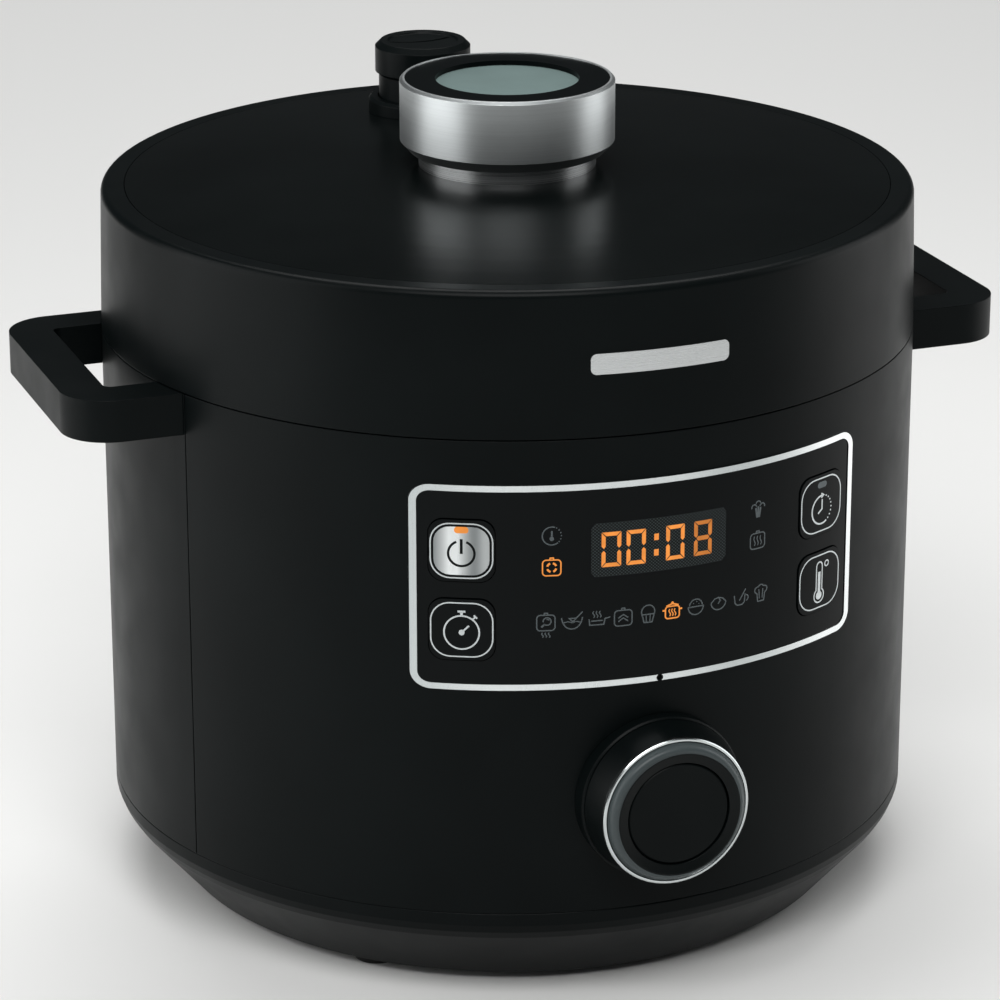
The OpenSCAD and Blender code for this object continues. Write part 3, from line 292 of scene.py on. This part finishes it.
def dotted(name, dark, light, pitch):
    """The display's filter: rows of fine dots, each row shifted by half a step."""
    m = Maker(name)
    m.put(Roughness=0.35, Specular_IOR_Level=0.1)
    split = m.nodes.new("ShaderNodeSeparateXYZ")
    m.links.new(m.where, split.inputs[0])
    waves = []
    for axis, length in (("X", pitch), ("Z", pitch * 0.9)):
        scale = m.nodes.new("ShaderNodeMath")
        scale.operation = "MULTIPLY"
        scale.inputs[1].default_value = 2 * math.pi / length
        m.links.new(split.outputs[axis], scale.inputs[0])
        sine = m.nodes.new("ShaderNodeMath")
        sine.operation = "SINE"
        m.links.new(scale.outputs[0], sine.inputs[0])
        waves.append(sine.outputs[0])
    product = m.nodes.new("ShaderNodeMath")
    product.operation = "MULTIPLY"
    m.links.new(waves[0], product.inputs[0])
    m.links.new(waves[1], product.inputs[1])
    step = m.nodes.new("ShaderNodeMapRange")
    step.inputs["From Min"].default_value = 0.05
    step.inputs["From Max"].default_value = 0.5
    m.links.new(product.outputs[0], step.inputs["Value"])
    m.blend_colour(step.outputs["Result"], dark, light)
    return m.material


# Sizes are in metres and colours are linear. A look's name says what it is on
BLACK = (0.0014, 0.0024, 0.0025)
GLOSS_BLACK = (0.0010, 0.0018, 0.0020)
HOUSING = moulded("housing_plastic", BLACK, 0.38, specular=0.07, bevel=0.0005)
LID_SIDE = moulded("lid_plastic", BLACK, 0.35, specular=0.07, bevel=0.0004)
COVER = moulded("cover_plastic", (0.0012, 0.0020, 0.0020), 0.25, specular=0.09, height=0.000003,
                drift=0.012)
INNER = moulded("inner_plastic", (0.010, 0.011, 0.011), 0.55, specular=0.3)
RUBBER = moulded("foot_rubber", (0.010, 0.010, 0.010), 0.85, specular=0.3, grain=0.0003)
SILICONE = moulded("seal_silicone", (0.42, 0.44, 0.45), 0.5, specular=0.45, grain=0.0004)
LINER = moulded("liner_plastic", (0.07, 0.075, 0.08), 0.5)
LENS = gloss("lens_black", GLOSS_BLACK, 0.1, specular=0.08, coat=0.02)
BUTTON = gloss("button_black", GLOSS_BLACK, 0.12, specular=0.08, coat=0.02)
RING_BLACK = gloss("knob_ring_black", (0.0012, 0.0020, 0.0022), 0.3, specular=0.06, coat=0.0)
SMOKE = gloss("cup_smoke", (0.016, 0.017, 0.018), 0.14, coat=0.4)
POT = moulded("pot_coating", (0.035, 0.035, 0.037), 0.42, specular=0.6, grain=0.0009,
              height=0.00004)
KNOB = turned("knob_metal", (0.58, 0.61, 0.615), 0.37, groove=0.00012, height=0.000003,
              bevel=0.0003)
NECK = turned("knob_neck", (0.60, 0.62, 0.625), 0.3, groove=0.0003, height=0.000004)
DISC = moulded("knob_disc_grey", (0.105, 0.147, 0.142), 0.45, specular=0.2, grain=0.0003)
STEEL = turned("steel_spun", (0.55, 0.56, 0.57), 0.26, groove=0.0006)
PLATE = turned("cast_plate", (0.5, 0.505, 0.51), 0.42, groove=0.0012, height=0.00005)
SENSOR = turned("sensor_metal", (0.62, 0.63, 0.64), 0.3)
SCREW = brushed("screw_steel", (0.5, 0.5, 0.51), 0.35, 0.002)
DARK_METAL = brushed("element_dark", (0.12, 0.12, 0.125), 0.5, 0.003)
# The frame's dark and bright bands are painted reflections laid into its base colour.
BRIGHT = painted_reflection_bands("frame_bright", (0.46, 0.50, 0.505), (0.90, 0.93, 0.935), 0.22, 0.05)
PLATE_BAR = brushed("bar_bright", (0.66, 0.68, 0.685), 0.28, 0.02, squash=(1, 1, 40))
DIAL_BRIGHT = brushed("dial_bright", (0.60, 0.64, 0.645), 0.2, 0.01)
BRASS = brushed("pin_brass", (0.62, 0.5, 0.27), 0.25, 0.004)
BOARD = gloss("board_green", (0.015, 0.085, 0.03), 0.3, coat=0.3)
PART = moulded("part_grey", (0.05, 0.05, 0.055), 0.5)
DISPLAY = moulded("display_body", (0.55, 0.55, 0.53), 0.5)
WIRE = moulded("wire_red", (0.35, 0.02, 0.015), 0.45)
FLOAT = moulded("float_red", (0.22, 0.012, 0.010), 0.5, specular=0.3)
DIAL_BODY = moulded("dial_body", BLACK, 0.34, specular=0.12, bevel=0.0003)
DIAL_DISC = moulded("dial_disc", BLACK, 0.42, specular=0.08, bevel=0.0003)
DIAL_BAND = moulded("dial_band", (0.036, 0.046, 0.048), 0.4, specular=0.35, grain=0.0003)
PRINT = brushed("print_silver", (0.62, 0.66, 0.67), 0.32, 0.01)
PRINT_DIM = moulded("print_dim", (0.055, 0.068, 0.073), 0.5)
PRINT_DARK = moulded("print_dark", (0.002, 0.003, 0.003), 0.5, specular=0.1)
# The power plate's dark and bright bands are painted reflections laid into its base colour.
POWER_PLATE = painted_reflection_bands("power_plate", (0.13, 0.145, 0.15), (0.78, 0.81, 0.815), 0.3, 0.007)
LAMP = glowing("lamp_orange", (0.93, 0.32, 0.065), 0.95)
LAMP_DIM = glowing("lamp_orange_dim", (0.80, 0.27, 0.055), 0.75)
MESH = dotted("display_mesh", (0.0025, 0.0035, 0.0035), (0.045, 0.056, 0.058), 0.0012)

LOOKS = {
    HOUSING: ["base_shell", "front_housing", "rear_housing", "left_handle", "right_handle",
              "dial_collar", "valve_collar", "valve_cap"],
    LID_SIDE: ["lid_shell"],
    COVER: ["lid_top_cover"],
    INNER: ["bottom_cover", "top_rim", "panel_carrier", "inlet_socket"],
    RUBBER: ["feet"],
    SCREW: ["bottom_screws", "handle_screws", "lid_posts"],
    STEEL: ["locking_collar", "heat_chamber", "chamber_brackets", "pressure_lid", "vent_pipe",
            "filter_cap", "lock_ring", "knob_shaft"],
    SENSOR: ["temperature_sensor"],
    PLATE: ["heating_plate"],
    DARK_METAL: ["heating_element", "valve_core"],
    PART: ["thermal_fuse", "pressure_switch", "power_parts", "tact_switches", "dial_encoder"],
    DISPLAY: ["display_module"],
    BOARD: ["power_board", "display_board", "button_boards"],
    BRIGHT: ["panel_frame"],
    DIAL_BRIGHT: ["dial_ring"],
    PLATE_BAR: ["name_plate"],
    LENS: ["panel_lens"],
    BRASS: ["inlet_pins"],
    WIRE: ["wiring"],
    POT: ["inner_pot"],
    LINER: ["lid_liner"],
    SILICONE: ["gasket"],
    KNOB: ["knob_body"],
    NECK: ["knob_base"],
    RING_BLACK: ["knob_ring"],
    DISC: ["knob_disc"],
    FLOAT: ["float_pin"],
    DIAL_BODY: ["dial_knob"],
    DIAL_DISC: ["start_button"],
    BUTTON: ["power_button", "timer_button", "delay_button", "temperature_button"],
    SMOKE: ["condensation_cup"],
}

for look, names in LOOKS.items():
    for name in names:
        nodes[name].material_slots[0].material = look


# ---- Flat art wrapped round the front ----

def arc(cx, cy, r, start, end, steps=24):
    """Points of an arc, with angles in degrees."""
    turn = [math.radians(start + (end - start) * i / steps) for i in range(steps + 1)]
    return [(cx + r * math.cos(a), cy + r * math.sin(a)) for a in turn]


def round_box(cx, cy, w, h, r):
    """The outline of a box with round corners, about its middle."""
    points = []
    for sx, sy, start in ((1, 1, 0), (-1, 1, 90), (-1, -1, 180), (1, -1, 270)):
        points += arc(cx + sx * (w / 2 - r), cy + sy * (h / 2 - r), r, start, start + 90, 8)
    return points


def wave(x, low, high, swing, steps=10):
    """An upright wavy line, such as steam."""
    return [
        (x + swing * math.sin(2 * math.pi * i / steps), low + (high - low) * i / steps)
        for i in range(steps + 1)
    ]


# How deep the art reaches below the surface it lies on
ART_SINK = 0.1 * MM
# The longest straight step across the curve, in millimetres, which keeps a line out of the surface
ART_FACET = 1.2
# The most a sharp corner's mitre may lengthen a line's width, as 1 over this
MITRE_FLOOR = 0.5


class Art:
    """Thin raised shapes in millimetres across and up, wrapped on an upright cylinder.

    The angle is in degrees from the front, and proud is in millimetres above the cylinder.
    """

    def __init__(self, name, radius, angle, height, proud=0.06, inward=False):
        self.name = name
        self.radius = radius
        self.angle = math.radians(angle)
        self.height = height
        self.proud = proud * MM
        self.bm = bmesh.new()
        self.side = -1 if inward else 1

    def at(self, u, v, lift):
        """The place of a point u across and v up, lift metres above the cylinder."""
        turn = self.angle + u * MM / self.radius
        r = self.radius + self.side * lift
        return Vector((r * math.sin(turn), -r * math.cos(turn), self.height + v * MM))

    def section(self, first, last):
        """The four corners of a slice, from first to last on the outside and back underneath."""
        upper = [self.at(u, v, self.proud) for u, v in (first, last)]
        lower = [self.at(u, v, -ART_SINK) for u, v in (last, first)]
        return [self.bm.verts.new(point) for point in upper + lower]

    def skin(self, slices, closed=False):
        """Faces between slices, and over the first and the last unless they meet."""
        after = slices[1:] + slices[:1] if closed else slices[1:]
        for a, b in zip(slices, after):
            for k in range(4):
                j = (k + 1) % 4
                self.bm.faces.new((a[k], b[k], b[j], a[j]))
        if not closed:
            self.bm.faces.new(slices[0])
            self.bm.faces.new(slices[-1][::-1])

    def plate(self, w, h, corner, across):
        """A plate with round corners that follows the cylinder, with slices at across, -1 to 1."""
        slices = []
        for place in across:
            u = w / 2 * place
            past = max(0.0, abs(u) - (w / 2 - corner))
            v = h / 2 - corner + math.sqrt(max(0.0, corner ** 2 - past ** 2))
            slices.append(self.section((u, -v), (u, v)))
        self.skin(slices)

    def solid(self, top):
        """A closed plate whose outline is the list top, counter-clockwise from outside."""
        upper = [self.bm.verts.new(self.at(u, v, self.proud)) for u, v in top]
        lower = [self.bm.verts.new(self.at(u, v, -ART_SINK)) for u, v in top]
        self.bm.faces.new(upper)
        self.bm.faces.new(lower[::-1])
        for i in range(len(top)):
            j = (i + 1) % len(top)
            self.bm.faces.new((upper[j], upper[i], lower[i], lower[j]))

    def stroke(self, points, width, closed=False):
        """A line of even width with mitred corners, as one closed strip."""
        corners = [Vector(point) for point in points]
        ends = corners[1:] + corners[:1] if closed else corners[1:]
        points = []
        for a, b in zip(corners, ends):
            parts = max(1, math.ceil(abs(b.x - a.x) / ART_FACET))
            points += [a.lerp(b, i / parts) for i in range(parts)]
        if not closed:
            points.append(corners[-1])
        count = len(points)
        slices = []
        for i, p in enumerate(points):
            before = points[i - 1] if i or closed else p - (points[1] - p)
            after = points[(i + 1) % count] if i < count - 1 or closed else p + (p - points[i - 1])
            a, b = (p - before).normalized(), (after - p).normalized()
            normal = Vector((-(a.y + b.y), a.x + b.x))
            normal = normal.normalized() if normal.length > 1e-6 else Vector((-a.y, a.x))
            reach = width / 2 / max(MITRE_FLOOR, normal.dot(Vector((-a.y, a.x))))
            slices.append(self.section(p + normal * reach, p - normal * reach))
        self.skin(slices, closed)

    def dot(self, cx, cy, r):
        self.solid(arc(cx, cy, r, 0, 330, 11))

    def done(self, material, body, slot):
        bmesh.ops.recalc_face_normals(self.bm, faces=self.bm.faces)
        mesh = bpy.data.meshes.new(self.name)
        self.bm.to_mesh(mesh)
        self.bm.free()
        mesh.materials.append(material)
        piece = bpy.data.objects.new(self.name, mesh)
        bpy.context.scene.collection.objects.link(piece)
        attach(piece, body)


# ---- Display ----

WINDOW_W, WINDOW_H, WINDOW_CORNER, WINDOW_SLICES = 47.6, 18.6, 1.6, 40
WINDOW_Z = PANEL_Z + 12.3 * MM
DIGIT_W, DIGIT_H, BAR, BAR_GAP = 6.6, 12.0, 1.5, 0.16
SEGMENTS = {"0": "abcdef", "8": "abcdefg"}
DIGIT_PROUD = 0.09


def display_window():
    """A thin curved plate with rounded corners, over the lens."""
    art = Art("display_window", LENS_R, 0, WINDOW_Z, proud=0.03)
    across = [-1 + 2 * i / WINDOW_SLICES for i in range(WINDOW_SLICES + 1)]
    art.plate(WINDOW_W, WINDOW_H, WINDOW_CORNER, across)
    art.done(MESH, "base", "lens_black")


def segment(name):
    """The corners of one bar of a digit, about the digit's middle."""
    w, h, t, gap = DIGIT_W / 2, DIGIT_H / 2, BAR, BAR_GAP
    slant = t * 0.62
    level = {
        "a": [(-w + gap, h), (w - gap, h), (w - t, h - t + gap), (-w + t, h - t + gap)],
        "g": [(-w + slant, 0), (-w + t, t / 2), (w - t, t / 2),
              (w - slant, 0), (w - t, -t / 2), (-w + t, -t / 2)],
        "f": [(-w, h - gap), (-w + t - gap, h - t - gap), (-w + t - gap, 1.1),
              (-w + t / 2, 0.35), (-w, 1.1)],
    }
    if name in level:
        return level[name]
    if name == "d":
        return [(x, -y) for x, y in level["a"]]
    flip_x = -1 if name in "bc" else 1
    flip_y = -1 if name in "ce" else 1
    return [(x * flip_x, y * flip_y) for x, y in level["f"]]


def display_digits():
    """Four digits and a colon. The last digit is a little dimmer."""
    lit = Art("display_digits", LENS_R, 0, WINDOW_Z, proud=DIGIT_PROUD)
    dim = Art("display_digit_last", LENS_R, 0, WINDOW_Z, proud=DIGIT_PROUD)
    row = ((-17.1, "0", lit), (-8.7, "0", lit), (5.0, "0", lit), (15.1, "8", dim))
    for place, digit, art in row:
        for name in SEGMENTS[digit]:
            art.solid([(x + place, y) for x, y in segment(name)])
    colon_left, colon_right, colon_half = -2.5, -0.9, 1.1
    for v in (2.7, -2.7):
        low, high = v - colon_half, v + colon_half
        lit.solid([(colon_left, low), (colon_right, low), (colon_right, high), (colon_left, high)])
    lit.done(LAMP, "base", "display_white")
    dim.done(LAMP_DIM, "base", "display_white")


# ---- Symbols ----

LINE = 0.42


class Pen:
    """Draws on an Art about one point, in lines of an even width."""

    def __init__(self, art, cx, cy):
        self.art = art
        self.cx, self.cy = cx, cy

    def line(self, points, weight=1.0, closed=False):
        self.art.stroke([(x + self.cx, y + self.cy) for x, y in points], LINE * weight, closed)

    def dot(self, x, y, r):
        self.art.dot(x + self.cx, y + self.cy, r)


def pot_square(pen):
    """A pot seen from the side, with the stub of its lid's knob."""
    pen.line(round_box(0, -0.3, 6.0, 5.4, 1.2), closed=True)
    pen.line([(-0.7, 2.4), (-0.5, 3.1), (0.5, 3.1), (0.7, 2.4)])


def steam(pen, low, high, step=1.1, middle=0.0):
    """Three wavy upright lines."""
    for x in (-step, 0, step):
        pen.line(wave(x + middle, low, high, 0.28), 0.85)


def icon_warm(pen):
    pot_square(pen)
    pen.line(arc(0.4, 0.2, 1.3, -120, 190))
    pen.line([(-0.4, -0.8), (-1.5, -1.8)], 1.5)
    pen.line(arc(0.5, 0.3, 0.6, 20, 120, 6), 0.8)
    steam(pen, -5.4, -3.7)


def icon_ladle_bowl(pen):
    bowl = arc(0, 0.2, 3.0, 205, 335)[1:-1]
    pen.line([(-3.5, 1.2), (-3.1, -0.4)] + bowl + [(3.1, -0.4), (3.5, 1.2)])
    pen.line([(-2.8, -0.5), (-1.4, -0.2), (0, -0.6), (1.4, -0.2), (2.8, -0.5)], 0.8)
    pen.line([(3.5, 3.1), (1.1, 0.6)])
    pen.line([(-1.0, 0.9), (1.4, 0.9), (0.3, -0.3)], closed=True)


def icon_pan(pen):
    pen.line([(-2.9, 0.2), (-2.7, -1.9), (2.0, -1.9), (2.4, 0.1), (4.2, 0.5)])
    pen.line([(-2.2, -0.5), (1.7, -0.5)])
    steam(pen, 0.6, 2.9, middle=-0.3)


def icon_chevrons(pen):
    pot_square(pen)
    for v in (-0.8, 0.4):
        pen.line([(-1.7, v - 0.7), (0, v + 0.5), (1.7, v - 0.7)])


def icon_muffin(pen):
    pen.line(arc(0, 0.9, 2.3, -20, 200))
    pen.line([(-2.1, 0.0), (-1.4, -2.8), (1.4, -2.8), (2.1, 0.0)], closed=True)
    for x in (-0.6, 0.6):
        pen.line([(x * 1.2, -0.3), (x, -2.5)], 0.8)


def icon_pot(pen):
    pen.line(round_box(0, -0.4, 5.0, 4.2, 1.0), 1.1, True)
    for side in (-1, 1):
        pen.line([(side * 2.6, 0.4), (side * 3.5, 0.5)], 1.3)
    pen.line([(-2.2, 1.9), (0, 2.6), (2.2, 1.9)], 1.2)
    pen.dot(0, 2.9, 0.45)
    steam(pen, -1.7, 0.8, 0.95)


def icon_rice(pen):
    pen.line(arc(0, 0.2, 2.8, 180, 360), closed=True)
    pen.line(arc(0, 0.4, 2.4, 5, 175))
    for x, y in ((-0.9, 1.4), (0.3, 1.9), (1.1, 1.1)):
        pen.dot(x, y, 0.2)


def icon_leaf_bowl(pen):
    pen.line(arc(0, 0.5, 2.9, 190, 350))
    pen.line([(-2.9, 0.1), (-1.4, 1.6), (0, 1.9), (1.6, 1.4), (2.9, 0.1)])
    pen.line([(0, 1.9), (0.7, 0.7), (-0.2, -0.3)])


def icon_cup(pen):
    pen.line([(-2.4, 1.2), (-2.0, -1.6), (-1.1, -2.4), (0.9, -2.4), (1.7, -1.6), (2.0, 1.2)])
    pen.line(arc(2.3, -0.3, 1.0, -80, 90, 10))
    pen.line([(-0.3, -0.9), (2.2, 2.9)])


def icon_chef_hat(pen):
    top = arc(-1.5, 1.2, 1.1, 250, 110, 8)
    top += arc(0, 1.9, 1.1, 150, 30, 8)
    top += arc(1.5, 1.2, 1.1, 70, -70, 8)
    pen.line([(-1.3, -2.8), (-1.6, -0.1)] + top + [(1.6, -0.1), (1.3, -2.8)], closed=True)
    for x in (-0.6, 0.6):
        pen.line([(x, -1.9), (x * 1.4, 1.4)], 0.9)


def icon_timed_heat(pen):
    pen.line(arc(0, 0, 3.1, 70, 310))
    for i in range(6):
        a = math.radians(-40 + 20 * i)
        pen.dot(3.1 * math.cos(a), 3.1 * math.sin(a), 0.24)
    pen.line([(0, 1.7), (0, -0.4)], 1.4)
    pen.dot(0, -1.0, 0.75)


def icon_stir(pen):
    pot_square(pen)
    for start in (20, 110, 200, 290):
        pen.line(arc(0, -0.2, 1.5, start, start + 55, 6), 1.6)


def icon_burst(pen):
    for lean in (-1, 0, 1):
        pen.line([(lean * 0.45, -2.8), (lean * 1.0, 1.0 - 0.3 * abs(lean))], 1.6)
    for side in (-1, 1):
        pen.line([(side * x, y) for x, y in arc(1.7, 0.9, 1.0, -20, 170, 10)])
    pen.line(arc(0, 1.9, 1.0, 10, 170, 10))


def icon_steam_box(pen):
    pot_square(pen)
    steam(pen, -1.9, 1.4, 1.3)


BOTTOM_ICONS = (icon_warm, icon_ladle_bowl, icon_pan, icon_chevrons, icon_muffin, icon_pot,
                icon_rice, icon_leaf_bowl, icon_cup, icon_chef_hat)
BOTTOM_ROW, BOTTOM_STEP_DEG = -11.7, 3.43
SIDE_DEG, SIDE_UPPER, SIDE_LOWER = 14.7, 18.1, 7.4


def panel_symbols():
    """Ten symbols under the display and two on each side of it. The lit ones glow."""
    dim = Art("symbols_dim", LENS_R, 0, PANEL_Z, proud=0.04)
    lit = Art("symbols_lit", LENS_R, 0, PANEL_Z, proud=0.08)
    step = LENS_R / MM * math.radians(BOTTOM_STEP_DEG)
    middle = (len(BOTTOM_ICONS) - 1) / 2
    for i, icon in enumerate(BOTTOM_ICONS):
        icon(Pen(lit if icon is icon_pot else dim, (i - middle) * step, BOTTOM_ROW))
    side = LENS_R / MM * math.radians(SIDE_DEG)
    icon_timed_heat(Pen(dim, -side, SIDE_UPPER))
    icon_stir(Pen(lit, -side, SIDE_LOWER))
    icon_burst(Pen(dim, side, SIDE_UPPER))
    icon_steam_box(Pen(dim, side, SIDE_LOWER))
    dim.done(PRINT_DIM, "base", "part_grey")
    lit.done(LAMP, "base", "display_white")


# ---- Buttons ----

OUTLINE_W, OUTLINE_H, OUTLINE_CORNER, OUTLINE_LINE = 20.4, 18.7, 6.4, 0.45
PLATE_INSET, PLATE_SLICES = 1.05, 16
BUTTON_DEG = 26.4
BUTTON_R = BODY_R + 0.9 * MM


def button_art(name, body, part, proud=0.06):
    """An Art about the middle of a button's face."""
    side = -1 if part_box(body)[0].x < 0 else 1
    return Art(f"{name}_{part}", BUTTON_R, side * BUTTON_DEG, middle_z(body), proud)


def outline(name, body):
    art = button_art(name, body, "outline")
    art.stroke(round_box(0, 0, OUTLINE_W, OUTLINE_H, OUTLINE_CORNER), OUTLINE_LINE, True)
    art.done(PRINT, body, "chrome")


def power_art():
    body = "power_button"
    outline("power", body)
    plate = button_art("power", body, "plate", 0.05)
    plate.plate(
        OUTLINE_W - 2 * PLATE_INSET, OUTLINE_H - 2 * PLATE_INSET, OUTLINE_CORNER - PLATE_INSET,
        [math.sin(math.pi * (i / PLATE_SLICES - 0.5)) for i in range(PLATE_SLICES + 1)],
    )
    plate.done(POWER_PLATE, body, "power_silver")
    mark = button_art("power", body, "symbol", 0.1)
    mark.stroke(arc(0, -0.9, 4.3, 112, 428, 40), 0.8)
    mark.stroke([(0, 4.1), (0, -1.0)], 0.95)
    mark.done(PRINT_DARK, body, "button_black")
    lamp = button_art("power", body, "lamp", 0.1)
    lamp.solid(round_box(0, 7.2, 4.7, 2.2, 1.0))
    lamp.done(LAMP, body, "display_white")


def timer_art():
    body = "timer_button"
    outline("timer", body)
    art = button_art("timer", body, "symbol")
    art.stroke(arc(0, -0.9, 5.8, 0, 351, 39), 0.55, True)
    art.stroke([(-1.3, 6.4), (1.3, 6.4)], 0.7)
    art.stroke([(0, 6.2), (0, 5.1)], 0.9)
    art.stroke([(3.5, 3.6), (4.5, 4.6)], 0.6)
    art.stroke([(4.0, 5.2), (5.1, 4.1)], 0.6)
    art.stroke([(0, -0.9), (2.4, 1.5)], 0.6)
    art.dot(0, -0.9, 1.0)
    art.done(PRINT, body, "chrome")


def delay_art():
    body = "delay_button"
    outline("delay", body)
    art = button_art("delay", body, "symbol")
    art.stroke(arc(0, -1.8, 5.0, 80, 300, 30), 0.6)
    for i in range(8):
        a = math.radians(-48 + 16 * i)
        art.dot(5.0 * math.cos(a), -1.8 + 5.0 * math.sin(a), 0.3)
    art.stroke([(-0.5, 4.0), (0.9, 3.2), (-0.4, 2.4)], 0.5)
    art.stroke([(0.1, 1.8), (0.1, -1.6), (-1.9, -2.9)], 0.6)
    art.done(PRINT, body, "chrome")
    lamp = button_art("delay", body, "lamp")
    lamp.solid(round_box(0, 7.0, 4.6, 2.1, 1.0))
    lamp.done(PRINT_DIM, body, "part_grey")


def temperature_art():
    body = "temperature_button"
    outline("temperature", body)
    art = button_art("temperature", body, "symbol")
    bulb = arc(-0.4, -5.0, 2.5, 127, 413, 26)
    stem = arc(-0.4, 5.4, 1.5, 180, 0, 10)
    art.stroke(stem[::-1] + bulb, 0.5, True)
    art.stroke([(-0.4, 3.4), (-0.4, -4.6)], 1.3)
    art.dot(-0.4, -5.0, 1.5)
    art.stroke(arc(3.4, 5.6, 1.0, 0, 330, 11), 0.45, True)
    art.done(PRINT, body, "chrome")


# ---- Dial ----

DIAL_RING_W = 1.3 * MM
DIAL_SLOPE_W = 2.9 * MM
BAND_SKIN = 0.05 * MM
BAND_OVERLAP = 0.02 * MM
BAND_STEPS = 144


def dial_band():
    """The grey band on the dial's slope, from the bright ring to the proud middle."""
    low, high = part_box("dial_ring")
    r_out = (high.x - low.x) / 2 - DIAL_RING_W
    r_in = r_out - DIAL_SLOPE_W
    front, top = low.y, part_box("dial_knob")[0].y
    centre = middle_z("dial_ring")
    slope = Vector((r_out - r_in, front - top)).normalized() * BAND_SKIN
    r_edge = r_out - BAND_OVERLAP
    profile = [
        (r_edge, front), (r_edge + slope.y, front - slope.x),
        (r_in + slope.y, top - slope.x), (r_in, top + BAND_SKIN),
    ]
    bm = bmesh.new()
    loops = []
    for i in range(BAND_STEPS):
        a = 2 * math.pi * i / BAND_STEPS
        x, z = math.cos(a), math.sin(a)
        loops.append([bm.verts.new((r * x, y, centre + r * z)) for r, y in profile])
    for a, b in zip(loops, loops[1:] + loops[:1]):
        for k in range(len(profile)):
            j = (k + 1) % len(profile)
            bm.faces.new((a[k], b[k], b[j], a[j]))
    bmesh.ops.recalc_face_normals(bm, faces=bm.faces)
    mesh = bpy.data.meshes.new("dial_band")
    bm.to_mesh(mesh)
    bm.free()
    mesh.materials.append(DIAL_BAND)
    for face in mesh.polygons:
        face.use_smooth = True
    piece = bpy.data.objects.new("dial_band", mesh)
    bpy.context.scene.collection.objects.link(piece)
    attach(piece, "dial")


# ---- Pot ----

POT_R_IN = 110 * MM
FIRST_MARK, MARK_STEP, MARK_COUNT, MARK_LINE = 34, 18, 5, 0.7


def pot_marks():
    """Filling marks on the inside of the pot's wall, at the back."""
    art = Art("pot_marks", POT_R_IN, 180, POT_Z0, proud=0.16, inward=True)
    for i in range(MARK_COUNT):
        half = 9 if i % 2 else 5
        v = FIRST_MARK + i * MARK_STEP
        art.stroke([(-half, v), (half, v)], MARK_LINE)
    art.done(PRINT_DIM, "inner_pot", "part_grey")


pot_marks()
dial_band()
display_window()
display_digits()
panel_symbols()
power_art()
timer_art()
delay_art()
temperature_art()
